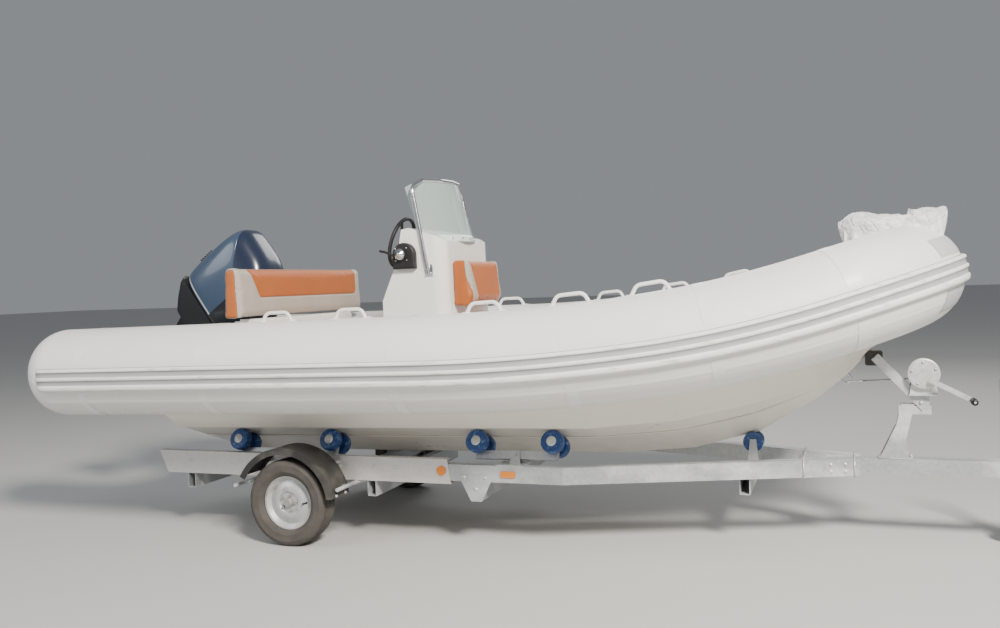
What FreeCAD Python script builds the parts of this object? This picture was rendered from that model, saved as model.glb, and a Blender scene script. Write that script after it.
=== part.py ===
import FreeCAD, Part
import math
import os
import re
from types import SimpleNamespace
from FreeCAD import Placement, Rotation, Vector

# A rigid inflatable boat on its road trailer, in millimetres.
# X points to the bow, Y to port and Z up. The ground is Z = 0 and the origin lies
# under the middle of the overall box. Boat pieces are drawn level and then trimmed
# bow-up by a small angle, as the boat lies on its rollers.

document = FreeCAD.newDocument("inflatable_boat_on_trailer")
sheet = document.addObject("Spreadsheet::Sheet", "Sizes")

# Each row: name, value in millimetres or degrees, what it is.
SIZES = [
    ("seat_gap", 0.3, "clearance where a piece beds against a curved one"),
    ("trim_angle", 0.94, "bow-up angle of the boat on the trailer, degrees"),
    # buoyancy tube
    ("tube_radius", 285, "buoyancy tube, outside radius"),
    ("tube_spacing", 985, "buoyancy tube, middle line to the boat's middle"),
    ("tube_height", 1127, "buoyancy tube, middle line above the ground"),
    ("tube_stern", -3100, "aftmost point of the tubes"),
    ("cone_length", 240, "rounded end cone of a tube"),
    ("cone_tip_radius", 60, "flat tip of the end cone"),
    ("sheer_start", -229, "where the tubes start to rise and close in"),
    ("entry_radius", 5894, "first long bend of a tube towards the bow"),
    ("entry_turn", 11.1, "turn of that bend, degrees"),
    ("entry_lean", 29.7, "how far that bend leans up from level, degrees"),
    ("rise_radius", 5000, "second long bend of a tube"),
    ("rise_turn", 11.9, "turn of that bend, degrees"),
    ("rise_lean", 56.5, "how far that bend leans up, degrees"),
    ("strake_top_angle", 9.0, "rubbing strake, upper edge on the tube, degrees"),
    ("strake_low_angle", -20.2, "rubbing strake, lower edge on the tube, degrees"),
    ("strake_depth", 24, "rubbing strake, thickness at its ribs"),
    ("strake_groove", 9, "how much lower the bands between the ribs lie"),
    # hull and deck
    ("keel_height", 450, "keel above the ground, boat level"),
    ("deck_height", 900, "top of the hull moulding, under the deck floor"),
    ("deck_skin", 25, "thickness of the deck moulding"),
    ("coaming_height", 1290, "top of the deck moulding's sides"),
    ("cockpit_half_width", 697, "outer face of the deck moulding's sides"),
    ("transom_foot", -2170, "transom at the keel"),
    ("transom_head", -2430, "transom at its top edge"),
    ("transom_top", 1095, "height of the transom's top edge"),
    ("transom_thickness", 60, "thickness of the transom"),
    ("chine_width", 25, "flat of the chine"),
    ("cockpit_front", 900, "aft face of the bow locker"),
    # console
    ("console_half_width", 410, "half the width of the console"),
    ("console_front", -365, "front face of the console"),
    ("console_corner", 85, "rounding of the console's front corners"),
    ("screen_thickness", 6, "windscreen sheet"),
    ("screen_foot", 1868, "lower edge of the windscreen"),
    ("screen_head", 2262, "top of the windscreen"),
    ("screen_slope", 100, "how far the screen leans aft over its height"),
    ("screen_bow", 190, "how far the screen bows forward across the boat"),
    ("rail_tube_radius", 12.5, "stainless rail round the screen"),
    ("wheel_rim_radius", 170, "steering wheel, to the middle of its rim"),
    ("wheel_grip_radius", 13, "steering wheel, rim section"),
    ("wheel_rake", 19, "lean of the steering wheel, degrees"),
    # seats
    ("backrest_half_width", 840, "half the length of the stern backrest"),
    ("backrest_front", -1630, "front face of the stern backrest"),
    ("backrest_depth", 130, "thickness of the stern backrest"),
    ("backrest_foot", 1425, "lower edge of the stern backrest"),
    ("backrest_head", 1772, "upper edge of the stern backrest"),
    ("bench_half_width", 655, "half the width of the stern bench"),
    ("bench_top", 1230, "top of the bench moulding"),
    ("bench_aft", -1940, "aft face of the bench moulding"),
    ("bench_front", -1190, "front face of the bench moulding"),
    ("cushion_height", 90, "thickness of the seat cushions"),
    ("cushion_gap", 1.0, "clearance round the soft pads"),
    # outboard engine
    ("engine_tilt", 56, "how far the engine is tilted up, degrees"),
    ("pivot_back", -2450, "tilt pin"),
    ("pivot_height", 1150, "tilt pin above the ground, boat level"),
    ("steer_axis_back", 110, "steering axis aft of the tilt pin"),
    ("cowl_half_width", 225, "half the width of the engine cowl"),
    ("propeller_radius", 180, "propeller"),
    ("propeller_drop", 815, "propeller shaft below the tilt pin"),
    # trailer frame
    ("axle_back", -1300, "wheel axis"),
    ("rail_rear", -2450, "rear end of the side rails, at the top"),
    ("rail_front", -305, "front end of the side rails, at the top"),
    ("rail_outside", 680, "outer face of a side rail"),
    ("rail_top", 535, "top of the side rails"),
    ("rail_depth", 150, "height of the side rails"),
    ("rail_flange", 55, "width of the rails' flanges"),
    ("rail_wall", 5, "thickness of the side rails"),
    ("arm_depth", 100, "height of the draw frame arms"),
    ("arm_width", 60, "width of the draw frame arms"),
    ("arm_top", 505, "top of the draw frame arms"),
    ("arm_rear", -700, "rear end of the draw frame arms"),
    ("arm_bend", 420, "where the arms turn in"),
    ("arm_nose", 2060, "front end of the arms"),
    ("drawbar_width", 80, "width of the drawbar"),
    ("drawbar_depth", 90, "height of the drawbar"),
    ("drawbar_front", 3380, "front end of the drawbar"),
    ("beam_depth", 100, "height of the cross beams"),
    ("beam_width", 60, "width of the cross beams"),
    # wheels
    ("tyre_radius", 272.5, "tyre, outside radius"),
    ("tyre_width", 165, "tyre, width"),
    ("tyre_middle", 850, "middle plane of a wheel from the middle of the trailer"),
    ("rim_radius", 168, "rim flange"),
    ("hub_radius", 60, "hub, width of its centre"),
    ("drum_radius", 102, "brake drum"),
    ("bolt_circle", 50, "wheel bolts, from the axis"),
    ("axle_tube", 70, "square axle tube"),
    ("axle_ahead", 150, "axle tube ahead of the wheel axis"),
    ("spindle_radius", 18, "wheel spindle"),
    ("mudguard_radius", 345, "inside of the mudguard"),
    ("mudguard_wall", 5, "thickness of the mudguard"),
    ("mudguard_half_width", 108, "half the width of the mudguard"),
    # rollers
    ("roller_radius", 70, "hull roller"),
    ("roller_width", 60, "hull roller, width"),
    ("roller_pin", 10, "roller pin, radius"),
    ("cradle_middle", 548, "middle of the roller cradles from the trailer's middle"),
    ("keel_roller_radius", 60, "keel roller"),
    # winch post and jockey wheel
    ("post_foot", 2255, "middle of the winch post's foot"),
    ("coupling_bore", 25.5, "coupling cup radius"),
    ("jockey_place", 2960, "jockey wheel clamp"),
    ("jockey_side", 118, "jockey tube beside the drawbar's middle"),
    ("jockey_tube_radius", 30, "jockey outer tube"),
    ("jockey_wheel_radius", 100, "jockey wheel"),
    ("jockey_wheel_width", 60, "jockey wheel, width"),
]
for row, (name, value, note) in enumerate(SIZES, 1):
    sheet.set(f"A{row}", name)
    sheet.set(f"B{row}", str(value))
    sheet.setAlias(f"B{row}", name)
    sheet.set(f"C{row}", note)
document.recompute()
NAMES = [name for name, value, note in SIZES]
size = SimpleNamespace(**{name: float(sheet.get(name)) for name in NAMES})

X_AXIS = Vector(1, 0, 0)
Y_AXIS = Vector(0, 1, 0)
Z_AXIS = Vector(0, 0, 1)
ORIGIN = Vector(0, 0, 0)
WORLD = Placement()

# The boat turns about the ground under the wheels, the engine about its tilt pin.
trim_turn = Rotation(Y_AXIS, -size.trim_angle)
trim_centre = Vector(size.axle_back, 0, 0)
BOAT = Placement(trim_centre - trim_turn.multVec(trim_centre), trim_turn)
pivot = Vector(size.pivot_back, 0, size.pivot_height)
ENGINE = BOAT.multiply(Placement(pivot, Rotation(Y_AXIS, size.engine_tilt)))

nodes = []


def formula(text):
    """Turn the names in a sum into references to the sheet's cells."""
    return re.sub(r"[a-z_]+", lambda word: "Sizes." + word.group()
                  if word.group() in NAMES else word.group(), str(text))


def bind(item, **sums):
    for prop, text in sums.items():
        item.setExpression(prop.replace("__", "."), formula(text))


def box(name, sides, corner):
    item = document.addObject("Part::Box", name)
    bind(item, Length=sides[0], Width=sides[1], Height=sides[2],
         Placement__Base__x=corner[0], Placement__Base__y=corner[1], Placement__Base__z=corner[2])
    return item


def rod(name, radius, length, start, axis):
    """A round bar from start along axis."""
    item = document.addObject("Part::Cylinder", name)
    item.Placement = Placement(ORIGIN, Rotation(Z_AXIS, axis))
    bind(item, Radius=radius, Height=length, Placement__Base__x=start[0],
         Placement__Base__y=start[1], Placement__Base__z=start[2])
    return item


def grouped(name, items):
    """Several objects as one, which then has a place of its own."""
    item = document.addObject("Part::Compound", name)
    item.Links = items
    return item


def softened(name, base, radius, test):
    """Fillet the edges of an object that a test picks."""
    document.recompute()
    item = document.addObject("Part::Fillet", name)
    item.Base = base
    item.Edges = [(number, radius, radius) for number, edge in enumerate(base.Shape.Edges, 1) if test(edge)]
    return item


def fused(name, items):
    item = document.addObject("Part::MultiFuse", name)
    item.Shapes = items
    item.Refine = True
    return item


def cut(name, base, tool):
    item = document.addObject("Part::Cut", name)
    item.Base = base
    item.Tool = tool
    item.Refine = True
    return item


def keep(item, label, place=WORLD):
    """Make an object a sub-part under its own name."""
    item.Label = label
    if place is not WORLD:
        item.Placement = place.multiply(item.Placement)
    nodes.append(item)
    return item


def solid(label, shape, place=WORLD):
    """A sub-part whose form is made by Part's own functions."""
    item = document.addObject("Part::Feature", label)
    item.Shape = shape
    item.Placement = place.multiply(shape.Placement)
    nodes.append(item)
    item.Label = label
    return item


def flat(points, plane, level=0.0):
    """Lay two-column points in a plane: XZ, XY or YZ at the given level."""
    if plane == "XZ":
        return [Vector(a, level, b) for a, b in points]
    if plane == "XY":
        return [Vector(a, b, level) for a, b in points]
    return [Vector(level, a, b) for a, b in points]


def face_of(points):
    return Part.Face(Part.makePolygon(points + points[:1]))


def prism(points, push):
    return face_of(points).extrude(push)


def slab(outline, half):
    """A side view in X and Z, given its thickness evenly to both sides of the middle."""
    return prism(flat(outline, "XZ", -half), Vector(0, 2 * half, 0))


def join(shapes):
    return shapes[0].multiFuse(shapes[1:]).removeSplitter()


def mirrored(shape):
    return shape.mirror(ORIGIN, Y_AXIS)


def both_sides(shape):
    return Part.makeCompound([shape, mirrored(shape)])


def rounded(shape, radius, test):
    """Fillet the edges that a test picks."""
    return shape.makeFillet(radius, [edge for edge in shape.Edges if test(edge)])


def along(axis):
    """A test for straight edges that run along an axis."""
    def test(edge):
        ends = [vertex.Point for vertex in edge.Vertexes]
        if len(ends) < 2:
            return False
        run = ends[1] - ends[0]
        return run.Length > 1 and abs(run.dot(axis)) > 0.999 * run.Length
    return test


def block(low, high):
    return Part.makeBox(high[0] - low[0], high[1] - low[1], high[2] - low[2], Vector(*low))


def pipe_path(points, bend):
    """Straight runs joined by tangent arcs of one radius."""
    edges = []
    here = points[0]
    for before, corner, after in zip(points, points[1:], points[2:]):
        first = (before - corner).normalize()
        second = (after - corner).normalize()
        half_turn = first.getAngle(second) / 2
        back = bend / math.tan(half_turn)
        entry = corner + first * back
        leave = corner + second * back
        middle = (first + second).normalize()
        crown = corner + middle * (bend / math.sin(half_turn) - bend)
        edges.append(Part.LineSegment(here, entry).toShape())
        edges.append(Part.Arc(entry, crown, leave).toShape())
        here = leave
    edges.append(Part.LineSegment(here, points[-1]).toShape())
    return Part.Wire(edges)


def bent_bar(points, radius, bend):
    path = pipe_path(points, bend)
    ring = Part.Wire(Part.makeCircle(radius, points[0], points[1] - points[0]))
    return path.makePipeShell([ring], True, False)


# The tube's middle line: straight from the stern, then two long bends and a last
# one that meets the boat's middle square. Each bend: start, heading, inward, radius, turn.
def bow_bends():
    bends = []
    here = Vector(size.sheer_start, -size.tube_spacing, size.tube_height)
    heading = Vector(1, 0, 0)
    for radius, turn, lean in (
            (size.entry_radius, size.entry_turn, size.entry_lean),
            (size.rise_radius, size.rise_turn, size.rise_lean)):
        level = (Y_AXIS - heading * heading.y).normalize()
        upward = heading.cross(level)
        tilt = math.radians(lean)
        inward = level * math.cos(tilt) + upward * math.sin(tilt)
        bends.append((here, heading, inward, radius, turn))
        angle = math.radians(turn)
        here = here + heading * (radius * math.sin(angle)) + inward * (radius * (1 - math.cos(angle)))
        heading = heading * math.cos(angle) + inward * math.sin(angle)
    inward = (Y_AXIS - heading * heading.y).normalize()
    angle = heading.getAngle(Y_AXIS)
    reach = math.sin(angle) * heading.y + (1 - math.cos(angle)) * inward.y
    bends.append((here, heading, inward, -here.y / reach, math.degrees(angle)))
    return bends


BENDS = bow_bends()
NOSE_BEND = 2000
PANEL_TURN = 2.5


def tube_point(x):
    """The starboard tube's middle line at a length x along the boat."""
    if x <= size.sheer_start:
        return Vector(x, -size.tube_spacing, size.tube_height)
    for here, heading, inward, radius, turn in BENDS:
        low = 0.0
        high = math.radians(turn)
        spot = here + heading * (radius * math.sin(high)) + inward * (radius * (1 - math.cos(high)))
        if x <= spot.x:
            for step in range(40):
                angle = (low + high) / 2
                spot = here + heading * (radius * math.sin(angle)) + inward * (radius * (1 - math.cos(angle)))
                if spot.x < x:
                    low = angle
                else:
                    high = angle
            return spot
    return spot


def run_round_bow(profile, start, panel_turn=90):
    """Carry a section from start along the starboard tube, each bend in panels of at most a given turn."""
    pieces = [profile.extrude(Vector(size.sheer_start - start, 0, 0))]
    section = profile.copy()
    section.translate(Vector(size.sheer_start - start, 0, 0))
    for here, heading, inward, radius, turn in BENDS:
        centre = here + inward * radius
        axis = heading.cross(inward)
        panels = math.ceil(turn / panel_turn) if radius > NOSE_BEND else 1
        for panel in range(panels):
            pieces.append(section.revolve(centre, axis, turn / panels))
            section = section.copy()
            section.rotate(centre, axis, turn / panels)
    return pieces


def ring_face(x, radius):
    centre = Vector(x, -size.tube_spacing, size.tube_height)
    return Part.Face(Part.Wire(Part.makeCircle(radius, centre, X_AXIS)))


def tube_panels(extra):
    """The collar's fabric panels, larger all round by extra: the stern ones, the bends', and the nose."""
    radius = size.tube_radius + extra
    shoulder = size.tube_stern + size.cone_length
    pieces = run_round_bow(ring_face(shoulder, radius), shoulder, PANEL_TURN)
    height = size.tube_height
    tip_x = size.tube_stern - extra
    tip_radius = size.cone_tip_radius + extra
    drop = radius - tip_radius
    round_radius = ((shoulder - tip_x) ** 2 + drop ** 2) / (2 * drop)
    sweep = math.acos((round_radius - drop) / round_radius)

    def profile_point(angle):
        return Vector(shoulder - round_radius * math.sin(angle), -size.tube_spacing,
                      height + radius - round_radius * (1 - math.cos(angle)))

    tip = Vector(tip_x, -size.tube_spacing, height)
    middle = Vector(shoulder, -size.tube_spacing, height)
    edges = [Part.LineSegment(tip, profile_point(sweep)).toShape(),
             Part.Arc(profile_point(sweep), profile_point(sweep / 2), profile_point(0)).toShape(),
             Part.LineSegment(profile_point(0), middle).toShape(),
             Part.LineSegment(middle, tip).toShape()]
    stern = join([pieces[0], Part.Face(Part.Wire(edges)).revolve(tip, X_AXIS, 360)])
    panels = [stern] + pieces[1:-1]
    nose = join([pieces[-1], mirrored(pieces[-1])])
    return panels + [mirrored(panel) for panel in panels] + [nose]


# Buoyancy collar: an air-filled tube round the bow, of fabric panels welded edge to edge.
solid("tube_collar", Part.makeCompound(tube_panels(0.0)), BOAT)
collar_room = join(tube_panels(size.seat_gap))


def strake_section(start):
    """Ribbed section on the outer side of the tube: angle up from level, height off the tube."""
    rib = size.strake_depth
    band = size.strake_depth - size.strake_groove
    top = size.strake_top_angle
    low = size.strake_low_angle
    outer = [(top, 4), (top - 1, band), (top - 3.0, rib), (top - 4.5, rib), (top - 5.2, band),
             (top - 11.5, band), (top - 12.2, rib), (top - 14.5, rib), (top - 15.2, band),
             (top - 21.5, band), (top - 22.2, rib), (low + 1.5, rib), (low, 4)]
    base = size.tube_radius + size.seat_gap

    def spot(angle, height):
        turn = math.radians(angle)
        return Vector(start, -size.tube_spacing - (base + height) * math.cos(turn),
                      size.tube_height + (base + height) * math.sin(turn))

    corners = [spot(angle, height) for angle, height in [(top, 0)] + outer + [(low, 0)]]
    edges = [Part.LineSegment(a, b).toShape() for a, b in zip(corners, corners[1:])]
    edges.append(Part.Arc(spot(low, 0), spot((top + low) / 2, 0), spot(top, 0)).toShape())
    return Part.Face(Part.Wire(edges))


# Rubbing strake: a ribbed rubber band glued along the outer side of the tube.
strake_start = size.tube_stern + size.cone_length
strake_half = join(run_round_bow(strake_section(strake_start), strake_start))
solid("rub_strake", join([strake_half, mirrored(strake_half)]), BOAT)

# Hull sections from the transom to the stem.
# Columns: length, keel height, chine half width, chine height, side half width, side height.
HULL_SECTIONS = [
    (-2500, 0, 640, 258, 850, 450),
    (-229, 0, 640, 258, 850, 450),
    (600, 2, 630, 256, 800, 480),
    (1100, 40, 545, 292, 720, 540),
    (1500, 144, 375, 362, 620, 660),
    (1850, 350, 160, 445, 470, 800),
    (2010, 480, 45, 500, 360, 850),
    (2190, 665, 8, 680, 190, 890),
]


def hull_wire(x, keel, chine, chine_rise, side, side_rise):
    half = [(chine, chine_rise), (chine + size.chine_width, chine_rise + 1), (side, side_rise)]
    around = [(0, keel)] + half + [(-y, z) for y, z in reversed(half)]
    points = [Vector(x, y, size.keel_height + z) for y, z in around]
    return Part.makePolygon(points + points[:1])


def behind_transom(inset):
    """Everything aft of the raked transom, moved forward by inset."""
    foot = size.transom_foot + inset
    head = size.transom_head + inset
    rake = (head - foot) / (size.transom_top - size.keel_height)
    low = size.keel_height - 300
    high = 2200
    return slab([(foot + rake * (low - size.keel_height), low),
                 (foot + rake * (high - size.keel_height), high),
                 (-4000, high), (-4000, low)], 1600)


# Hull: deep-V glass fibre moulding, with the transom that carries the engine.
hull_body = Part.makeLoft([hull_wire(*row) for row in HULL_SECTIONS], True, True)
transom_board = block((size.transom_head - 60, -size.cockpit_half_width, size.deck_height - 1),
                      (size.transom_foot + 100, size.cockpit_half_width, size.transom_top))
transom_board = transom_board.cut(slab([(-4000, 0), (4000, 0), (4000, 4000), (-4000, 4000)], 1600).cut(
    behind_transom(size.transom_thickness)))
hull_body = join([hull_body, transom_board]).cut(behind_transom(0)).cut(collar_room)


def deck_outline(inset, front, rear):
    """Plan of the cockpit inside the tubes, narrowing towards the bow."""
    rows = [(rear, size.cockpit_half_width - inset), (size.sheer_start, size.cockpit_half_width - inset)]
    for x in (600, front):
        rows.append((x, -tube_point(x).y - size.tube_radius - 6 - inset))
    return [(x, y) for x, y in rows] + [(x, -y) for x, y in reversed(rows)]


# The hull stops under the cockpit floor.
cockpit_room = prism(flat(deck_outline(0, size.cockpit_front, size.sheer_start), "XY", size.deck_height),
                     Vector(0, 0, 1000))
hull_body = hull_body.cut(cockpit_room)
hull_body = max(hull_body.Solids, key=lambda piece: piece.Volume)
solid("hull", hull_body, BOAT)

# Deck moulding: cockpit floor with upstands along the tubes, open above.
floor_rear = size.transom_head + size.transom_thickness + 30
deck = prism(flat(deck_outline(0, size.cockpit_front, floor_rear), "XY", size.deck_height),
             Vector(0, 0, size.coaming_height - size.deck_height))
hollow = prism(flat(deck_outline(size.deck_skin, size.cockpit_front + 50, floor_rear - 200), "XY",
                    size.deck_height + size.deck_skin), Vector(0, 0, 1000))
deck = deck.cut(hollow).cut(behind_transom(size.transom_thickness)).cut(collar_room).cut(hull_body)
solid("deck_moulding", max(deck.Solids, key=lambda piece: piece.Volume), BOAT)

# Bow locker: a box between the tubes with an open top, and its hinged lid.
locker_top = 1345
locker_floor = 1180
lid_thickness = 30
locker_rows = [(size.cockpit_front + size.seat_gap, 560), (1500, 440), (1860, 330)]
locker_plan = locker_rows + [(x, -y) for x, y in reversed(locker_rows)]
locker = prism(flat(locker_plan, "XY", 870), Vector(0, 0, locker_top - 870))
well_rows = [(1010, 420), (1500, 330)]
well = prism(flat(well_rows + [(x, -y) for x, y in reversed(well_rows)], "XY", locker_floor),
             Vector(0, 0, 400))
locker = locker.cut(well).cut(collar_room).cut(hull_body)
locker = max(locker.Solids, key=lambda piece: piece.Volume)
hinge_x = 1540
hinge_z = 1379
hinge_ear = 354
hinge_pin = 3
knuckle_radius = 7
ears = [block((hinge_x - 10, y, locker_top - 1), (hinge_x + 10, y + 10, hinge_z + 8))
        for y in (-hinge_ear - 10, hinge_ear)]
lid_pin = Part.makeCylinder(hinge_pin, 2 * hinge_ear + 20, Vector(hinge_x, -hinge_ear - 10, hinge_z),
                            Y_AXIS)
solid("bow_locker", join([locker, lid_pin] + ears), BOAT)
lid_rows = [(985, 450), (hinge_x, 345)]
lid_plan = lid_rows + [(x, -y) for x, y in reversed(lid_rows)]
lid = prism(flat(lid_plan, "XY", locker_top + size.seat_gap), Vector(0, 0, lid_thickness))
lid = rounded(lid, 8, lambda edge: all(abs(v.Point.z - locker_top - lid_thickness - size.seat_gap) < 0.01
                                       for v in edge.Vertexes))
lid_top = locker_top + lid_thickness + size.seat_gap
for y in (-200, 200):
    leaf = block((hinge_x - 50, y - 30, lid_top - 1), (hinge_x, y + 30, lid_top + 3))
    lid = join([lid, leaf, Part.makeCylinder(knuckle_radius, 60, Vector(hinge_x, y - 30, hinge_z), Y_AXIS)])
lid = lid.cut(Part.makeCylinder(hinge_pin + size.seat_gap, 1000, Vector(hinge_x, -500, hinge_z), Y_AXIS))
solid("bow_locker_lid", lid, BOAT)

# Foredeck between the locker and the nose of the tube.
foredeck_rows = [(1861, 330), (2080, 215), (2330, 120)]
foredeck_plan = foredeck_rows + [(x, -y) for x, y in reversed(foredeck_rows)]
foredeck = prism(flat(foredeck_plan, "XY", 1300), Vector(0, 0, 300))
foredeck = foredeck.cut(collar_room).cut(hull_body)
foredeck = max(foredeck.Solids, key=lambda piece: piece.Volume)
solid("foredeck", foredeck, BOAT)

# Bow step: a moulded tread over the nose of the tube, still in its wrapping.
# Columns: length, height above the top of the nose.
STEP_SIDE = [(2030, -229), (2030, -14), (2090, 43), (2480, 57), (2535, 33), (2545, -89), (2350, -229)]
nose_top = tube_point(4000).z + size.tube_radius
step = slab([(x, nose_top + rise) for x, rise in STEP_SIDE], 195)
step = step.cut(collar_room).cut(foredeck)
step = max(step.Solids, key=lambda piece: piece.BoundBox.ZMax)
solid("bow_step", step, BOAT)

# Console: moulded steering stand with rounded front corners and a raked dash.
console_side = [(-820, 925.3), (-812, 1500), (-700, 1745), (-655, 1955), (-600, 1962), (-430, 1905),
                (size.console_front, 1868), (size.console_front, 925.3)]
console = slab(console_side, size.console_half_width)
console = rounded(console, size.console_corner, lambda edge: along(Z_AXIS)(edge)
                  and edge.BoundBox.XMin > size.console_front - 1)
console_hollow = slab([(-900, 945), (-900, 1380), (-560, 1380), (-560, 945)], size.console_half_width - 60)
console = console.cut(console_hollow)

# Windscreen: a sheet bowed forward across the boat and raked aft.
half_chord = size.console_half_width - 25
screen_radius = (half_chord ** 2 + size.screen_bow ** 2) / (2 * size.screen_bow)


def screen_arc(radius, front):
    centre = front - screen_radius
    turn = math.asin(half_chord / screen_radius)
    points = [Vector(centre + radius * math.cos(a), radius * math.sin(a), size.screen_foot)
              for a in (-turn, 0, turn)]
    return Part.Arc(*points).toShape(), points


screen_front = size.console_front + 22
outer_arc, outer_points = screen_arc(screen_radius, screen_front)
inner_arc, inner_points = screen_arc(screen_radius - size.screen_thickness, screen_front)
screen_face = Part.Face(Part.Wire([outer_arc, Part.LineSegment(outer_points[2], inner_points[2]).toShape(),
                                   inner_arc, Part.LineSegment(inner_points[0],
                                                               outer_points[0]).toShape()]))
screen = screen_face.extrude(Vector(-size.screen_slope, 0, size.screen_head - size.screen_foot))
window = rounded(block((-1200, -half_chord - 30, size.screen_foot), (0, half_chord + 30, size.screen_head)),
                 120, lambda edge: along(X_AXIS)(edge) and edge.BoundBox.ZMax > size.screen_head - 1)
screen = screen.common(window).cut(console)
screen = max(screen.Solids, key=lambda piece: piece.Volume)
solid("windscreen", screen, BOAT)

# Stainless rail: two legs from the console's sides and a bow over the screen.
rail_out = size.console_half_width + size.rail_tube_radius + size.seat_gap
rail_over = size.screen_head + size.rail_tube_radius + 2
rail_half = [Vector(-472, -rail_out, 1660), Vector(-560, -rail_out, 2225),
             Vector(-542, -300, rail_over), Vector(-470, -150, rail_over), Vector(-448, 0, rail_over)]
rail_path = rail_half + [Vector(p.x, -p.y, p.z) for p in reversed(rail_half[:-1])]
screen_rail = bent_bar(rail_path, size.rail_tube_radius, 60)
solid("screen_rail", screen_rail, BOAT)

# Steering wheel on the raked dash, with its hub and a short shaft.
dash_normal = Vector(-math.cos(math.radians(size.wheel_rake)), 0, math.sin(math.radians(size.wheel_rake)))
wheel_centre = Vector(-850, 0, 1895)
rim_ring = Part.makeTorus(size.wheel_rim_radius, size.wheel_grip_radius, wheel_centre, dash_normal)
hub_disc = Part.makeCylinder(42, 26, wheel_centre - dash_normal * 20, dash_normal)
shaft = Part.makeCylinder(16, 190, wheel_centre - dash_normal * 207, dash_normal)
shaft_room = Part.makeCylinder(16.5, 240, wheel_centre - dash_normal * 210, dash_normal)
spokes = []
for turn in (90, 210, 330):
    spoke = Part.makeBox(size.wheel_rim_radius - 30, 26, 7, Vector(30, -13, -3.5))
    spoke.rotate(ORIGIN, Z_AXIS, turn)
    spoke.Placement = Placement(wheel_centre, Rotation(Z_AXIS, dash_normal)).multiply(spoke.Placement)
    spokes.append(spoke)
steering_wheel = join([rim_ring, hub_disc, shaft] + spokes)
solid("console", console.cut(shaft_room), BOAT)
solid("steering_wheel", steering_wheel, BOAT)

# Dash: black instrument panel round the steering shaft.
dash_base = Vector(-678, 0, 1850)
dash = Part.makeBox(190, 560, 14, Vector(-95, -280, 0))
dash = rounded(dash, 30, along(Z_AXIS))
dash_turn = Rotation(Z_AXIS, Vector(-math.cos(math.radians(12.1)), 0, math.sin(math.radians(12.1))))
dash.Placement = Placement(dash_base, dash_turn).multiply(dash.Placement)
dash = dash.cut(shaft_room).cut(console)
dash = max(dash.Solids, key=lambda piece: piece.Volume)
solid("dash_panel", dash, BOAT)

# Throttle and gear lever: a side pod on the console's starboard face.
pod = Part.makeCylinder(78, 42, Vector(0, 0, 0), Y_AXIS * -1)
pod = join([pod, Part.makeBox(156, 42, 90, Vector(-78, -42, -90))])
pod = rounded(pod, 14, lambda edge: edge.BoundBox.YMax < -41.9)
lever_hub = Part.makeCylinder(30, 24, Vector(-12, -42, 4), Y_AXIS * -1)
lever = bent_bar([Vector(-12, -58, 4), Vector(-60, -58, -2), Vector(-120, -58, 26), Vector(-126, -110, 30)],
                 8, 14)
throttle = join([pod, lever_hub, lever])
throttle.translate(Vector(-632, -size.console_half_width - size.seat_gap, 1790))
solid("throttle", throttle, BOAT)

# Seat on the console's front: moulded base, cushion and upright pad.
seat_front = -20
seat_half = 300
front_gap = size.console_front + size.cushion_gap
seat_base = block((size.console_front + size.seat_gap, -seat_half - 20, 925.3),
                  (seat_front, seat_half + 20, 1290))
seat_base = rounded(seat_base, 60, lambda edge: along(Z_AXIS)(edge) and edge.BoundBox.XMin > -60)
solid("console_seat", seat_base, BOAT)
seat_pad = box("SeatPad",
               (f"{seat_front + 5} - console_front - cushion_gap", 2 * seat_half, "cushion_height"),
               ("console_front + cushion_gap", -seat_half, 1290.3))
seat_cushion = softened("SeatPadRounded", seat_pad, 25,
                        lambda edge: edge.BoundBox.ZMin > 1375 or along(Z_AXIS)(edge))
keep(seat_cushion, "console_cushion", BOAT)
upright = slab([(front_gap, 1440), (-262, 1432), (-238, 1500), (-258, 1745), (front_gap, 1752)], seat_half)
upright = rounded(upright, 22, lambda edge: along(Y_AXIS)(edge) or edge.BoundBox.XMin > front_gap + 1)
solid("console_backrest", upright, BOAT)

# Stern bench: moulded base with a raised back, seat cushion and long backrest.
bench_side = [(size.bench_aft, 925.3), (size.bench_aft, 1180), (-1800, 1240), (-1790, 1412), (-1640, 1412),
              (-1625, size.bench_top), (size.bench_front, size.bench_top), (size.bench_front, 925.3)]
bench = slab(bench_side, size.bench_half_width)
bench = bench.cut(slab([(-1910, 950), (-1910, 1150), (-1790, 1200), (-1215, 1200), (-1215, 950)],
                       size.bench_half_width - 25))
hatch = block((-1220, -300, 990), (-1100, 300, 1170))
bench = bench.cut(hatch)
bench_pad = box("BenchPad", ("bench_front + 1605", 1240, "cushion_height"),
                (-1615, -620, "bench_top + seat_gap"))
bench_cushion = softened("BenchPadRounded", bench_pad, 25,
                         lambda edge: edge.BoundBox.ZMin > 1300 or along(Z_AXIS)(edge))
keep(bench_cushion, "bench_cushion", BOAT)
back_aft = size.backrest_front - size.backrest_depth
backrest = slab([(size.backrest_front, size.backrest_foot), (size.backrest_front - 12, size.backrest_head),
                 (back_aft + 20, size.backrest_head), (back_aft, size.backrest_foot)],
                size.backrest_half_width)
backrest = rounded(backrest, 35, lambda edge: edge.BoundBox.ZMin > size.backrest_head - 1 or
                   (abs(edge.CenterOfMass.y) > size.backrest_half_width - 1 and edge.BoundBox.ZLength > 100))
solid("bench_backrest", backrest, BOAT)
shelf_side = [(back_aft + 12, 1411), (back_aft + 12, size.backrest_foot - size.seat_gap),
              (size.backrest_front - 14, size.backrest_foot - size.seat_gap),
              (size.backrest_front - 14, 1411)]
solid("stern_bench", join([bench, slab(shelf_side, size.bench_half_width)]), BOAT)

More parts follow.
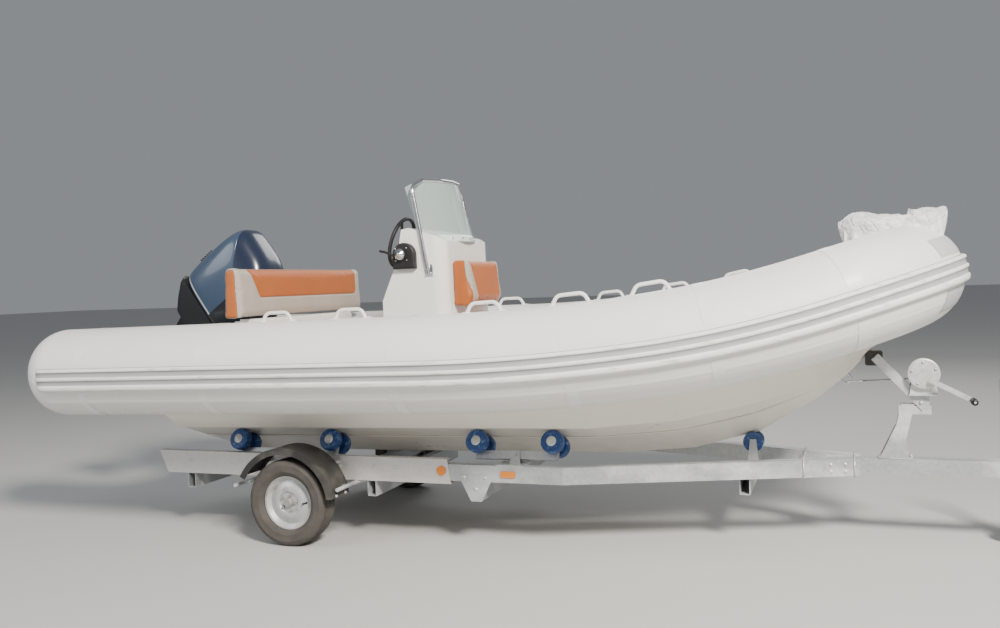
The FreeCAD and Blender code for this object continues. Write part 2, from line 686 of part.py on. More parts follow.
# Grab handles along the tube tops: length along the boat, side (-1 starboard, 1 port).
HANDLES = [(-1245, -1), (-739, -1), (107, -1), (602, -1), (1035, -1),
           (-1245, 1), (-415, 1), (379, 1), (875, 1), (1320, 1)]
handle_half = 108
handle_rise = 52
handles = []
for x, side in HANDLES:
    rear = tube_point(x - handle_half)
    front = tube_point(x + handle_half)
    lift = Vector(0, 0, size.tube_radius)
    low = Vector(0, 0, -12)
    high = Vector(0, 0, handle_rise)
    run = front - rear
    points = [rear + lift + low, rear + run * 0.16 + lift + high, front - run * 0.16 + lift + high,
              front + lift + low]
    grip = bent_bar(points, 11, 45)
    pads = [Part.makeCylinder(26, 12, end + lift - Vector(0, 0, 7), Z_AXIS) for end in (rear, front)]
    handle = join([grip] + pads).cut(collar_room)
    handle = max(handle.Solids, key=lambda piece: piece.BoundBox.ZMax)
    handles.append(handle if side < 0 else mirrored(handle))
solid("grab_handles", Part.makeCompound(handles), BOAT)

# Stainless eyes: one on the stem for the winch, two on the transom.
stem_spot = Vector(2000, 0, 922)
stem_along = Vector(0.776, 0, 0.631)
stem_out = Vector(0.631, 0, -0.776)
eye_outer = stem_spot + stem_out * 42
stem_eye = bent_bar([stem_spot + stem_along * 24 - stem_out * 15,
                     stem_spot + stem_along * 24 + stem_out * 42,
                     stem_spot - stem_along * 24 + stem_out * 42,
                     stem_spot - stem_along * 24 - stem_out * 15],
                    6, 14).cut(hull_body)
stem_eye = max(stem_eye.Solids, key=lambda piece: piece.BoundBox.XMax)
solid("bow_eye", stem_eye, BOAT)
transom_rake = (size.transom_head - size.transom_foot) / (size.transom_top - size.keel_height)
eye_face = size.transom_foot + transom_rake * (750 - size.keel_height)
eye_root = eye_face + 20
eye_end = eye_face - 65
stern_eyes = []
for y in (-420, 420):
    eye = bent_bar([Vector(eye_root, y, 730), Vector(eye_end, y, 715), Vector(eye_end, y, 785),
                    Vector(eye_root, y, 775)],
                   6, 16).cut(hull_body)
    stern_eyes.append(min(eye.Solids, key=lambda piece: piece.BoundBox.XMin))
solid("stern_eyes", Part.makeCompound(stern_eyes), BOAT)

# Outboard engine, drawn upright from its tilt pin: X forward, Z up.
steer_x = -size.steer_axis_back
tilt_pin_radius = 14
steer_shaft_radius = 22
pin = Part.makeCylinder(tilt_pin_radius, 300, Vector(0, -150, 0), Y_AXIS)
pin_room = Part.makeCylinder(tilt_pin_radius + size.seat_gap, 340, Vector(0, -170, 0), Y_AXIS)

# Clamp brackets: two side plates hooked over the transom, with the tilt pin through them.
plate_side = [(size.transom_head + size.transom_thickness + 12, size.transom_top + size.seat_gap),
              (size.transom_head + size.transom_thickness + 12, size.transom_top + 40),
              (size.pivot_back + 34, max(size.pivot_height + 34, size.transom_top + 40)),
              (size.pivot_back - 30, size.pivot_height + 30),
              (size.pivot_back - 36, size.pivot_height - 20),
              (size.transom_head - transom_rake * 300 - 50 - size.seat_gap, size.transom_top - 300),
              (size.transom_head - transom_rake * 300 - size.seat_gap, size.transom_top - 300),
              (size.transom_head - size.seat_gap - 0.2, size.transom_top + size.seat_gap)]
plates = []
for y in (-140, 116):
    plates.append(prism(flat(plate_side, "XZ", y), Vector(0, 24, 0)))
tilt_pin = pin.copy()
tilt_pin.translate(pivot)
bridge = Part.makeCylinder(18, 232, Vector(size.transom_head - transom_rake * 262 - 28, -116,
                                           size.transom_top - 262), Y_AXIS)
clamp = join(plates + [tilt_pin, bridge]).cut(hull_body)
clamp = max(clamp.Solids, key=lambda piece: piece.Volume)
solid("clamp_bracket", clamp, BOAT)

# Swivel bracket: turns on the tilt pin and holds the upright steering tube.
sleeve = Part.makeCylinder(30, 220, Vector(0, -110, 0), Y_AXIS)
web = block((steer_x - 6, -34, -190), (0, 34, 26))
steer_tube = Part.makeCylinder(36, 270, Vector(steer_x, 0, -210), Z_AXIS)
swivel = join([sleeve, web, steer_tube]).cut(pin_room)
swivel = swivel.cut(Part.makeCylinder(steer_shaft_radius + size.seat_gap, 400, Vector(steer_x, 0, -260),
                                      Z_AXIS))
solid("swivel_bracket", swivel, ENGINE)

# Leg: steering shaft, mid-section, plate above the propeller, gearcase and skeg.
steer_shaft = Part.makeCylinder(steer_shaft_radius, 300, Vector(steer_x, 0, -225), Z_AXIS)
leg_rear = -330
leg_front = steer_x - 44
shaft_z = -size.propeller_drop
upper_leg = [(leg_front, -235), (leg_front, 20), (steer_x - 42, 62.7), (-420, 62.7), (leg_rear - 30, -120),
             (leg_rear, shaft_z + 215), (leg_front - 30, shaft_z + 215)]
housing = slab(upper_leg, 62)
housing = rounded(housing, 24, lambda edge: not along(Y_AXIS)(edge) and edge.BoundBox.ZMax < 40
                  and edge.BoundBox.ZLength > 60)
lower_yoke = block((steer_x - 60, -30, -236), (steer_x + 32, 30, -214))
upper_yoke = block((steer_x - 60, -40, 64), (steer_x + 40, 40, 92))
leg_plate = prism(flat([(leg_front + 20, 0), (leg_front - 20, 60), (-300, 115), (-455, 125), (-490, 60),
                        (-490, -60), (-455, -125), (-300, -115), (leg_front - 20, -60)], "XY",
                       shaft_z + size.propeller_radius + 14),
                  Vector(0, 0, 10))
strut = slab([(leg_front - 40, shaft_z + 30), (leg_front - 30, shaft_z + 220), (leg_rear, shaft_z + 220),
              (leg_rear - 10, shaft_z + 30)], 26)
pod_length = 300
bullet = Part.makeCylinder(52, pod_length - 90, Vector(-395, 0, shaft_z), X_AXIS)
nose = Part.makeCone(52, 14, 110, Vector(-395 + pod_length - 90, 0, shaft_z), X_AXIS)
skeg = slab([(-130, shaft_z - 20), (-330, shaft_z - 20), (-350, shaft_z - 205), (-300, shaft_z - 210)], 5)
prop_shaft_radius = 12
prop_shaft = Part.makeCylinder(prop_shaft_radius, 132, Vector(-394, 0, shaft_z), X_AXIS * -1)
leg = join([housing, steer_shaft, lower_yoke, upper_yoke, leg_plate, strut, bullet, nose, skeg, prop_shaft])
solid("engine_leg", leg, ENGINE)

# Propeller: hub and three raked blades on its shaft.
prop_front = -396
hub = Part.makeCone(48, 40, 118, Vector(prop_front - size.seat_gap, 0, shaft_z), X_AXIS * -1)
blades = []
for turn in range(0, 360, 120):
    root = Part.makePolygon([Vector(-44, -34, 36), Vector(-38, -40, 36), Vector(44, 34, 36),
                             Vector(38, 40, 36),
                             Vector(-44, -34, 36)])
    waist = Part.makePolygon([Vector(-50, -66, 110), Vector(-45, -70, 110), Vector(50, 66, 110),
                              Vector(45, 70, 110), Vector(-50, -66, 110)])
    tip = Part.makePolygon([Vector(-22, -40, 172), Vector(-19, -43, 172), Vector(22, 40, 172),
                            Vector(19, 43, 172), Vector(-22, -40, 172)])
    blade = Part.makeLoft([root, waist, tip], True, True)
    blade.translate(Vector(prop_front - 62, 0, 0))
    blade.rotate(ORIGIN, X_AXIS, turn)
    blade.translate(Vector(0, 0, shaft_z))
    blades.append(blade)
propeller = join([hub] + blades).cut(
    Part.makeCylinder(prop_shaft_radius + size.seat_gap, 300, Vector(prop_front + 50, 0, shaft_z),
                      X_AXIS * -1))
solid("propeller", propeller, ENGINE)

# Lower cowl: dark tray round the foot of the powerhead.
tray_side = [(70, 98), (95, 250.7), (-560, 250.7), (-545, 200), (-470, 110), (-420, 63), (steer_x - 62, 63),
             (steer_x - 62, 98)]
tray = slab(tray_side, size.cowl_half_width - 12)
tray = rounded(tray, 60, lambda edge: not along(Y_AXIS)(edge) and edge.BoundBox.ZLength > 40)
tray = tray.cut(leg)
tray = max(tray.Solids, key=lambda piece: piece.Volume)
solid("lower_cowl", tray, ENGINE)


# Upper cowl: a thin moulded hood, and the engine block under it.
hood_side = [(100, 251), (40, 620), (-90, 750), (-233, 850), (-560, 840), (-590, 640), (-590, 330),
             (-565, 251)]
upper = slab(hood_side, size.cowl_half_width)
upper = rounded(upper, 90, lambda edge: not along(Y_AXIS)(edge) and edge.BoundBox.ZMax > 300)
powerhead_room = slab([(30, 240), (0, 600), (-90, 690), (-250, 790), (-520, 790), (-545, 640), (-545, 240)],
                      size.cowl_half_width - 45)
upper = upper.cut(powerhead_room)
solid("upper_cowl", upper, ENGINE)
engine_block = box("EngineBlock", (440, "cowl_half_width + 35", 349),
                   (-480, "-(cowl_half_width + 35) / 2", 251))
keep(grouped("EngineBlockPlaced", [engine_block]), "engine_block", ENGINE)

# Trailer side rails: pressed channels, open inwards, with raked ends.
rail_low = size.rail_top - size.rail_depth
rear_rake = 65
front_rake = 20
outside = -size.rail_outside
rail = prism(flat([(size.rail_rear, size.rail_top), (size.rail_front, size.rail_top),
                   (size.rail_front + front_rake, rail_low), (size.rail_rear + rear_rake, rail_low)],
                  "XZ", outside), Vector(0, size.rail_flange, 0))
rail_hollow = block((size.rail_rear - 100, outside + size.rail_wall, rail_low + size.rail_wall),
                    (size.rail_front + 200, outside + 200, size.rail_top - size.rail_wall))
solid("side_rails", both_sides(rail.cut(rail_hollow)))

# Draw frame arms: box beams that lie in the rails, then close in to the drawbar.
arm_out = size.rail_outside - size.rail_wall
arm_in = arm_out - size.arm_width
bar_half = size.drawbar_width / 2
nose_out = bar_half + size.arm_width
nose_face = 40
arm_low = size.arm_top - size.arm_depth
arm_plan = [(size.arm_rear, -arm_out), (size.arm_bend, -arm_out), (size.arm_nose, -nose_out),
            (size.arm_nose, -bar_half), (size.arm_nose - nose_face, -bar_half),
            (size.arm_bend - 12, -arm_in), (size.arm_rear, -arm_in)]
arm = prism(flat(arm_plan, "XY", arm_low), Vector(0, 0, size.arm_depth))
solid("frame_arms", both_sides(arm))

# Drawbar: one box beam from between the arms to the coupling.
bar_outer = box("DrawbarOuter", ("drawbar_front - arm_nose + 190", "drawbar_width", "drawbar_depth"),
                ("arm_nose - 190", "0 - drawbar_width / 2", "arm_top - 5 - drawbar_depth"))
bar_room = box("DrawbarRoom", ("drawbar_front - arm_nose + 390", "drawbar_width - 8", "drawbar_depth - 8"),
               ("arm_nose - 290", "4 - drawbar_width / 2", "arm_top - 1 - drawbar_depth"))
keep(cut("Drawbar", bar_outer, bar_room), "drawbar")
bar_top = size.arm_top - 5
bar_low = bar_top - size.drawbar_depth

# Cross beams under the rails and the arms. Columns: place along the trailer, half span, top.
CROSS_BEAMS = [(-2230, 672, "rail_top - rail_depth"), (-860, 672, "rail_top - rail_depth"),
               (-150, 675, "rail_top - rail_depth"), (1390, 285, "arm_top - arm_depth")]
beams = []
for number, (x, half_span, top) in enumerate(CROSS_BEAMS):
    outer = box(f"BeamOuter{number}", ("beam_width", 2 * half_span, "beam_depth"),
                (x, -half_span, f"{top} - beam_depth"))
    room = box(f"BeamRoom{number}", ("beam_width - 8", 2 * half_span + 20, "beam_depth - 8"),
               (x + 4, -half_span - 10, f"{top} - beam_depth + 4"))
    beams.append(cut(f"Beam{number}", outer, room))
for side in (-1, 1):
    gusset = document.addObject("Part::Feature", "Gusset")
    gusset.Shape = prism(flat([(-235, size.arm_top - 60), (-5, size.arm_top - 60),
                               (-85, rail_low - size.beam_depth),
                               (-155, rail_low - size.beam_depth)], "XZ", side * arm_out),
                         Vector(0, side * 5, 0))
    beams.append(gusset)
keep(fused("CrossBeams", beams), "cross_beams")

# Axle: square tube under the rails, trailing arms, brake plates and wheel spindles.
axle_x = size.axle_back + size.axle_ahead
axle_half = 640
axle_z = rail_low - size.axle_tube / 2
blade_in = 688
blade_out = 712
tube = block((axle_x - size.axle_tube / 2, -axle_half, rail_low - size.axle_tube),
             (axle_x + size.axle_tube / 2, axle_half, rail_low))
blade = prism(flat([(axle_x + 44, axle_z + 26), (axle_x + 44, axle_z - 34),
                    (size.axle_back - 14, size.tyre_radius - 40),
                    (size.axle_back - 42, size.tyre_radius - 14),
                    (size.axle_back - 42, size.tyre_radius + 16),
                    (size.axle_back - 14, size.tyre_radius + 40)],
                   "XZ", blade_in), Vector(0, blade_out - blade_in, 0))
boss = Part.makeCylinder(28, blade_in - axle_half + 8, Vector(axle_x, axle_half - 4, axle_z), Y_AXIS)
spindle = Part.makeCylinder(size.spindle_radius, size.tyre_middle + 22 - blade_in,
                            Vector(size.axle_back, blade_in, size.tyre_radius), Y_AXIS)
brake_plate = Part.makeCylinder(size.drum_radius + 2, 8, Vector(size.axle_back, 771, size.tyre_radius),
                                Y_AXIS)
brake_boss = Part.makeCylinder(40, 70, Vector(size.axle_back, blade_out - 8, size.tyre_radius), Y_AXIS)
swing = join([blade, boss, spindle, brake_plate, brake_boss])
solid("axle", join([tube, swing, mirrored(swing)]))

# Wheels: tyre, pressed steel rim, and a brake drum with its hub and wheel bolts.
# Tyre section: share of the way from bead to tread, share of the half width.
TYRE_SECTION = [(0.0, -0.72), (0.20, -0.94), (0.52, -1.0), (0.82, -0.91), (0.96, -0.76), (1.0, -0.44)]


def wheel_turned(profile):
    """Turn columns of radius and sideways place about the wheel's axis at the origin."""
    return face_of([Vector(0, y, r) for r, y in profile]).revolve(ORIGIN, Y_AXIS, 360)


def round_wheel(shape, count, reach):
    """Copies of a shape, evenly spaced about the wheel's axis at a radius."""
    copies = []
    for number in range(count):
        own = shape.copy()
        own.translate(Vector(reach, 0, 0))
        own.rotate(ORIGIN, Y_AXIS, number * 360 / count)
        copies.append(own)
    return copies


half_tyre = [(size.rim_radius + size.seat_gap + share * (size.tyre_radius - size.rim_radius - size.seat_gap),
              part * size.tyre_width / 2) for share, part in TYRE_SECTION]
tyre = wheel_turned(half_tyre + [(r, -y) for r, y in reversed(half_tyre)])
bead = size.rim_radius
rim_half = 54
rim_sheet = 5
well = bead - 22
disc = 100
rim = wheel_turned([(bead, -rim_half), (bead, -rim_half + 16), (well, -18), (well, 20),
                    (bead, rim_half - 16),
                    (bead, rim_half), (bead - rim_sheet, rim_half), (bead - rim_sheet - 1, rim_half - 14),
                    (well - rim_sheet - 1, 22), (well - 12, 24), (disc, 42), (86, 46), (70, 46), (64, 38),
                    (size.hub_radius / 2, 38), (size.hub_radius / 2, 33), (68, 33), (74, 41), (84, 41),
                    (disc - 4, 36), (well - 14, 18), (well - rim_sheet, 10), (well - rim_sheet, -16),
                    (bead - rim_sheet - 1, -rim_half + 14), (bead - rim_sheet, -rim_half)])
bolt_hole = Part.makeCylinder(6.3, 60, Vector(0, 10, 0), Y_AXIS)
valve_hole = Part.makeCylinder(6, 60, Vector(120, 0, 0), Y_AXIS)
for tool in [valve_hole] + round_wheel(bolt_hole, 5, size.bolt_circle):
    rim = rim.cut(tool)
drum_bore = size.spindle_radius + 0.5
drum = wheel_turned([(1, 62), (24, 62), (29, 56), (29, 32.7), (62, 32.7), (66, 22), (size.drum_radius, 10),
                     (size.drum_radius, -60), (size.drum_radius - 8, -60), (size.drum_radius - 8, 4),
                     (42, 4),
                     (42, -60), (drum_bore, -60), (drum_bore, 46), (1, 46)])
bolt = Part.makeCylinder(6, 30, Vector(0, 20, 0), Y_AXIS)
bolt_head = Part.makeCone(10, 8, 14, Vector(0, 38.3, 0), Y_AXIS)
drum = join([drum] + round_wheel(join([bolt, bolt_head]), 5, size.bolt_circle))
for side, word in ((-1, "right"), (1, "left")):
    place = Placement(Vector(size.axle_back, side * size.tyre_middle, size.tyre_radius), Rotation())
    for shape, label in ((tyre, "tyre"), (rim, "rim"), (drum, "hub_drum")):
        solid(f"{label}_{word}", shape if side > 0 else mirrored(shape), place)

# Mudguards: moulded arches with a lip on each edge.
GUARD_ENDS = (8, 152)
guard_outer = size.mudguard_radius + size.mudguard_wall
guard_out = size.tyre_middle + size.mudguard_half_width
guard_in = size.tyre_middle - size.mudguard_half_width


def guard_spot(radius, angle, y):
    turn = math.radians(angle)
    return Vector(size.axle_back + radius * math.cos(turn), y, size.tyre_radius + radius * math.sin(turn))


def arch_band(inner, outer, y_from, y_to):
    low, high = GUARD_ENDS
    middle = (low + high) / 2
    edges = [Part.Arc(*[guard_spot(outer, a, y_from) for a in (low, middle, high)]).toShape(),
             Part.LineSegment(guard_spot(outer, high, y_from), guard_spot(inner, high, y_from)).toShape(),
             Part.Arc(*[guard_spot(inner, a, y_from) for a in (high, middle, low)]).toShape(),
             Part.LineSegment(guard_spot(inner, low, y_from), guard_spot(outer, low, y_from)).toShape()]
    return Part.Face(Part.Wire(edges)).extrude(Vector(0, y_to - y_from, 0))


arch = arch_band(size.mudguard_radius, guard_outer, guard_in, guard_out)
outer_lip = arch_band(size.mudguard_radius - 34, guard_outer, guard_out - size.mudguard_wall, guard_out)
inner_lip = arch_band(size.mudguard_radius - 22, guard_outer, guard_in, guard_in + size.mudguard_wall)
solid("mudguards", both_sides(join([arch, outer_lip, inner_lip])))

# Mudguard stays: bent pipes under the rails to the arches' ends, and bolts through the rails.
stay_radius = 12
stay_z = rail_low - stay_radius
guard_room = Part.makeCylinder(guard_outer + size.seat_gap, 400,
                               Vector(size.axle_back, guard_in - 20, size.tyre_radius), Y_AXIS)
stays = []
for side_x in (-1, 1):
    reach = size.axle_back + side_x * 368
    stay = bent_bar([Vector(size.axle_back + side_x * 420, size.rail_outside - 90, stay_z),
                     Vector(reach, size.rail_outside - 10, stay_z), Vector(reach, guard_out - 30, stay_z)],
                    stay_radius, 60)
    clip = block((min(reach, reach - side_x * 60), guard_in + 30, stay_z - 6),
                 (max(reach, reach - side_x * 60), guard_in + 70, stay_z + 6))
    stays.append(join([stay, clip.cut(guard_room)]))
    spacer = Part.makeCylinder(stay_radius, guard_in - size.rail_outside,
                               Vector(size.axle_back + side_x * 250, size.rail_outside, rail_low + 116),
                               Y_AXIS)
    stays.append(spacer)
solid("mudguard_stays", Part.makeCompound(stays + [mirrored(piece) for piece in stays]))

# Hull rollers on rocking cradles, set square to the V of the hull.
# Columns: middle of the cradle along the boat, half the spacing of its axles.
CRADLES = [(120, 240), (-1485, 345)]
deadrise = math.atan2(HULL_SECTIONS[0][3], HULL_SECTIONS[0][2])
row_offset = size.roller_width / 2 + 32
hull_slope = math.tan(deadrise)
pin_y = size.cradle_middle
pin_z = size.keel_height + hull_slope * pin_y - (size.roller_radius + size.seat_gap) / math.cos(deadrise)
square_to_hull = Placement(Vector(0, pin_y, pin_z), Rotation(X_AXIS, math.degrees(deadrise)))
beam_half = 20
beam_high = -45
beam_low = -95


def squared(shape, x):
    """Place a shape drawn about a cradle's middle, with Z square to the hull, at x along the boat."""
    shape.Placement = Placement(Vector(x, 0, 0),
                                Rotation()).multiply(square_to_hull).multiply(shape.Placement)
    return shape


def centred_bar(radius, half_length, z):
    return Part.makeCylinder(radius, 2 * half_length, Vector(0, -half_length, z), Y_AXIS)


roller = Part.makeCylinder(size.roller_radius, size.roller_width, Vector(0, -size.roller_width / 2, 0),
                           Y_AXIS)
roller = rounded(roller, 14, lambda edge: edge.Closed)
roller = roller.cut(centred_bar(size.roller_pin + size.seat_gap, 100, 0))
cradles = []
hull_rollers = []
brackets = []
cheek_in = beam_half + 2
cheek_out = cheek_in + 6
for middle, half in CRADLES:
    pieces = [block((-half - 22, -beam_half, beam_low), (half + 22, beam_half, beam_high))]
    for x in (-half, half):
        pieces.append(block((x - 22, -beam_half, beam_high - 1), (x + 22, beam_half, 22)))
        pin_bar = centred_bar(size.roller_pin, row_offset + size.roller_width / 2 + 8, 0)
        pin_bar.translate(Vector(x, 0, 0))
        pieces.append(pin_bar)
        for row in (-row_offset, row_offset):
            wheel = roller.copy()
            wheel.translate(Vector(0, row, 0))
            hull_rollers.append(squared(wheel, middle + x))
    cradle = squared(join(pieces), middle)
    cradles.append(cradle)
    cheeks = [prism(flat([(-24, beam_high - 2), (24, beam_high - 2), (62, -330), (-62, -330)], "XZ", y),
                    Vector(0, cheek_out - cheek_in, 0)) for y in (-cheek_out, cheek_in)]
    bolt = centred_bar(9, cheek_out + 14, (beam_low + beam_high) / 2)
    brackets.append(squared(join(cheeks + [bolt]), middle))
solid("roller_cradles", Part.makeCompound(cradles + [mirrored(piece) for piece in cradles]), BOAT)
solid("hull_rollers", Part.makeCompound(hull_rollers + [mirrored(piece) for piece in hull_rollers]), BOAT)

# Cradle brackets: on a plate over the arms at the front, inside the rails at the rear.
bracket_set = []
foot_thick = 6
for (middle, half), bracket, cradle, floor in zip(CRADLES, brackets, cradles,
                                                  (size.arm_top, rail_low + size.rail_wall)):
    for piece in (bracket, cradle):
        piece.Placement = BOAT.multiply(piece.Placement)
    bracket = bracket.cut(cradle).cut(block((-3000, 0, 0), (3000, 2000, floor)))
    if floor == size.arm_top:
        foot = block((middle - 110, 535, floor), (middle + 70, arm_out, floor + foot_thick))
        bracket = join([bracket, foot]) if bracket.distToShape(foot)[0] < 1 else bracket
    bracket_set += bracket.Solids

# Keel roller on the front cross beam, between two upright ears.
keel_place = 1450
keel_rows = [row for row in HULL_SECTIONS if row[0] in (1100, 1500)]
keel_run = keel_rows[1][0] - keel_rows[0][0]
keel_rise = keel_rows[1][1] - keel_rows[0][1]
keel_z = size.keel_height + keel_rows[0][1] + keel_rise * (keel_place - keel_rows[0][0]) / keel_run
keel_down = Vector(keel_rise, 0, -keel_run).normalize()
roller_waist = size.keel_roller_radius - 12
keel_centre = BOAT.multVec(Vector(keel_place, 0, keel_z) + keel_down * (roller_waist + size.seat_gap))
keel_pin_radius = 8
keel_bore = keel_pin_radius + size.seat_gap
keel_roller = face_of([Vector(0, -50, keel_bore), Vector(0, -50, size.keel_roller_radius),
                       Vector(0, -34, size.keel_roller_radius), Vector(0, 0, roller_waist),
                       Vector(0, 34, size.keel_roller_radius), Vector(0, 50, size.keel_roller_radius),
                       Vector(0, 50, keel_bore)])
keel_roller = keel_roller.revolve(ORIGIN, Y_AXIS, 360)
solid("keel_roller", keel_roller, Placement(keel_centre, Rotation()))
ears = [prism(flat([(keel_centre.x - 40, arm_low), (keel_centre.x - 18, keel_centre.z + 18),
                    (keel_centre.x + 18, keel_centre.z + 18), (keel_centre.x + 40, arm_low)], "XZ", y),
              Vector(0, 6, 0)) for y in (-58, 52)]
keel_pin = Part.makeCylinder(keel_pin_radius, 130, Vector(keel_centre.x, -65, keel_centre.z), Y_AXIS)
keel_foot = block((keel_centre.x - 40, -58, arm_low), (keel_centre.x + 40, 58, arm_low + 6))
solid("cradle_brackets", Part.makeCompound(bracket_set + [mirrored(piece) for piece in bracket_set]
                                           + [join(ears + [keel_pin, keel_foot])]))

# Winch post: foot plate and leaning post on the drawbar, two straps up to the stem rubber.
post_x = size.post_foot
post_lean = 45
post_top = 800
plate = block((post_x - 95, -bar_half, bar_top), (post_x + 95, bar_half, bar_top + 10))
post = prism([Vector(post_x - 35, -30, bar_top + 9), Vector(post_x + 35, -30, bar_top + 9),
              Vector(post_x + 35, 30, bar_top + 9), Vector(post_x - 35, 30, bar_top + 9)],
             Vector(post_lean + 25, 0, post_top - bar_top + 10))
snub_spot = Vector(2162, 0, 1085)
strap_low = Vector(2420, 0, 800)
run = (snub_spot - strap_low).normalize()
side_straps = []
for y in (-38, 30):
    offset = Vector(26 * run.z, 0, -26 * run.x)
    ends = [strap_low - offset, strap_low + offset, snub_spot + run * 14 + offset,
            snub_spot + run * 14 - offset]
    side_straps.append(prism([Vector(p.x, y, p.z) for p in ends], Vector(0, 8, 0)))
head_block = block((post_x + 20, -30, post_top - 40), (strap_low.x + 30, 30, post_top + 10))
snub_bolt_radius = 8
snub_bolt = Part.makeCylinder(snub_bolt_radius, 84, snub_spot + Vector(0, -42, 0), Y_AXIS)
winch_deck = block((2330, -70, 872), (2480, 70, 880))
riser_low = block((2380, -30, 800), (2440, 30, 876))
gussets = [prism(flat([(post_x - 84, bar_top + 9), (post_x + 70, bar_top + 9), (post_x + 62, bar_top + 70),
                       (post_x + 48, bar_top + 190), (post_x + 2, bar_top + 190)], "XZ", y),
                 Vector(0, 6, 0))
           for y in (-36, 30)]
winch_post = join([plate, post] + gussets + [head_block, snub_bolt, winch_deck, riser_low] + side_straps)
solid("winch_post", winch_post)

# Stem rubber: a block with a V notch that the bow rests against.
hull_world = hull_body.copy()
hull_world.Placement = BOAT
snub = block((snub_spot.x - 62, -29.7, snub_spot.z - 42), (snub_spot.x + 34, 29.7, snub_spot.z + 42))
snub_bore = Part.makeCylinder(snub_bolt_radius + size.seat_gap, 100, snub_spot + Vector(0, -50, 0), Y_AXIS)
snub = rounded(snub, 10, along(Y_AXIS)).cut(snub_bore)
stem_shift = hull_world.copy()
stem_shift.translate(Vector(size.seat_gap, 0, -size.seat_gap))
snub = snub.cut(stem_shift).cut(hull_world)
snub = max(snub.Solids, key=lambda piece: piece.Volume)
solid("stem_rubber", snub)

# Winch: drum between two side plates, gear cover and crank on the starboard side.
drum_spot = Vector(2410, 0, 1000)
plates = []
for y in (-56, 50):
    plates.append(prism(flat([(2335, 880), (2485, 880), (2470, 980), (2440, 1045), (2380, 1045),
                              (2350, 980)],
                             "XZ", y), Vector(0, 6, 0)))
drum_core = Part.makeCylinder(26, 104, drum_spot + Vector(0, -52, 0), Y_AXIS)
cheeks = [Part.makeCylinder(46, 3, drum_spot + Vector(0, y, 0), Y_AXIS) for y in (-47, 44)]
gear_cover = Part.makeCylinder(88, 30 - size.seat_gap, drum_spot + Vector(0, -86, 0), Y_AXIS)
gear_cover = rounded(gear_cover, 8, lambda edge: edge.Closed and edge.BoundBox.YMax < -85.9)
crank_hub = Vector(2452, -86, 960)
crank_end = Vector(2656, -86, 854)
crank_run = (crank_end - crank_hub).normalize()
crank_side = Vector(crank_run.z, 0, -crank_run.x) * 14
crank_bar = prism([Vector(p.x, -114, p.z) for p in
                   (crank_hub - crank_run * 18 + crank_side, crank_end + crank_run * 16 + crank_side,
                    crank_end + crank_run * 16 - crank_side, crank_hub - crank_run * 18 - crank_side)],
                  Vector(0, 6, 0))
crank_boss = Part.makeCylinder(14, 30, crank_hub, Y_AXIS * -1)
grip_pin = Part.makeCylinder(6, 110, Vector(crank_end.x, -108, crank_end.z), Y_AXIS * -1)
grip = Part.makeCylinder(15, 92, Vector(crank_end.x, -120, crank_end.z), Y_AXIS * -1)
winch_frame = join(plates + [drum_core] + cheeks)
crank = join([crank_boss, crank_bar, grip_pin, grip])
solid("winch", Part.makeCompound([winch_frame, join([gear_cover, crank])]))

# Winch strap: flat webbing from the drum to a hook in the bow eye.
eye_world = BOAT.multVec(eye_outer + stem_along * 7)
strap_half = 24
wrap_radius = 34
hook_reach = 60
hook_half = 14
hook_bar = 5
tangent = drum_spot + Vector(-5, 0, 1.5 - wrap_radius)
pull = (tangent - eye_world).normalize()
hook_back = 21.8
points = [eye_world + pull * reach + Vector(0, y, 0)
          for reach, y in ((hook_reach, -hook_half), (-hook_back, -hook_half), (-hook_back, hook_half),
                           (hook_reach, hook_half))]
hook_pin = Part.makeCylinder(hook_bar + 0.8, 2 * strap_half + 8, eye_world + pull * hook_reach
                             + Vector(0, -strap_half - 4, 0), Y_AXIS)
solid("strap_hook", join([bent_bar(points, hook_bar, 10), hook_pin]))
wrap = Part.makeCylinder(wrap_radius, 2 * strap_half, drum_spot + Vector(0, -strap_half, 0), Y_AXIS).cut(
    Part.makeCylinder(26 + size.seat_gap, 200, drum_spot + Vector(0, -100, 0), Y_AXIS))
strap_end = eye_world + pull * (hook_reach + hook_bar + 0.8 + size.seat_gap)
normal = Vector(pull.z, 0, -pull.x)
ends = [tangent + normal * 1.5, strap_end + normal * 1.5, strap_end - normal * 1.5, tangent - normal * 1.5]
webbing = prism([Vector(p.x, -strap_half, p.z) for p in ends], Vector(0, 2 * strap_half, 0))
solid("winch_strap", join([wrap, webbing]))

# Coupling head: housing on the drawbar's end with a ball cup and a lever.
cup_x = 3478
cup = Part.makeCylinder(42, 62, Vector(cup_x, 0, 424), Z_AXIS)
cup = rounded(cup, 12, lambda edge: edge.Closed and edge.BoundBox.ZMin > 480)
neck = block((size.drawbar_front - 110, -bar_half - 6, bar_low - 6),
             (size.drawbar_front + 70, bar_half + 6, bar_top + 6))
neck = neck.cut(block((size.drawbar_front - 200, -bar_half, bar_low),
                      (size.drawbar_front, bar_half, bar_top)))
coupling = join([neck, cup]).cut(Part.makeCylinder(size.coupling_bore, 44, Vector(cup_x, 0, 424), Z_AXIS))
coupling = coupling.cut(block((size.drawbar_front + 20, -200, bar_low - 10),
                              (size.drawbar_front + 160, 200, 424)))
lever = slab([(3330, 506), (3345, 545), (3470, 585), (3500, 575), (3480, 560), (3375, 522), (3380, 506)],
             16)
solid("coupling_head", join([coupling, lever]))

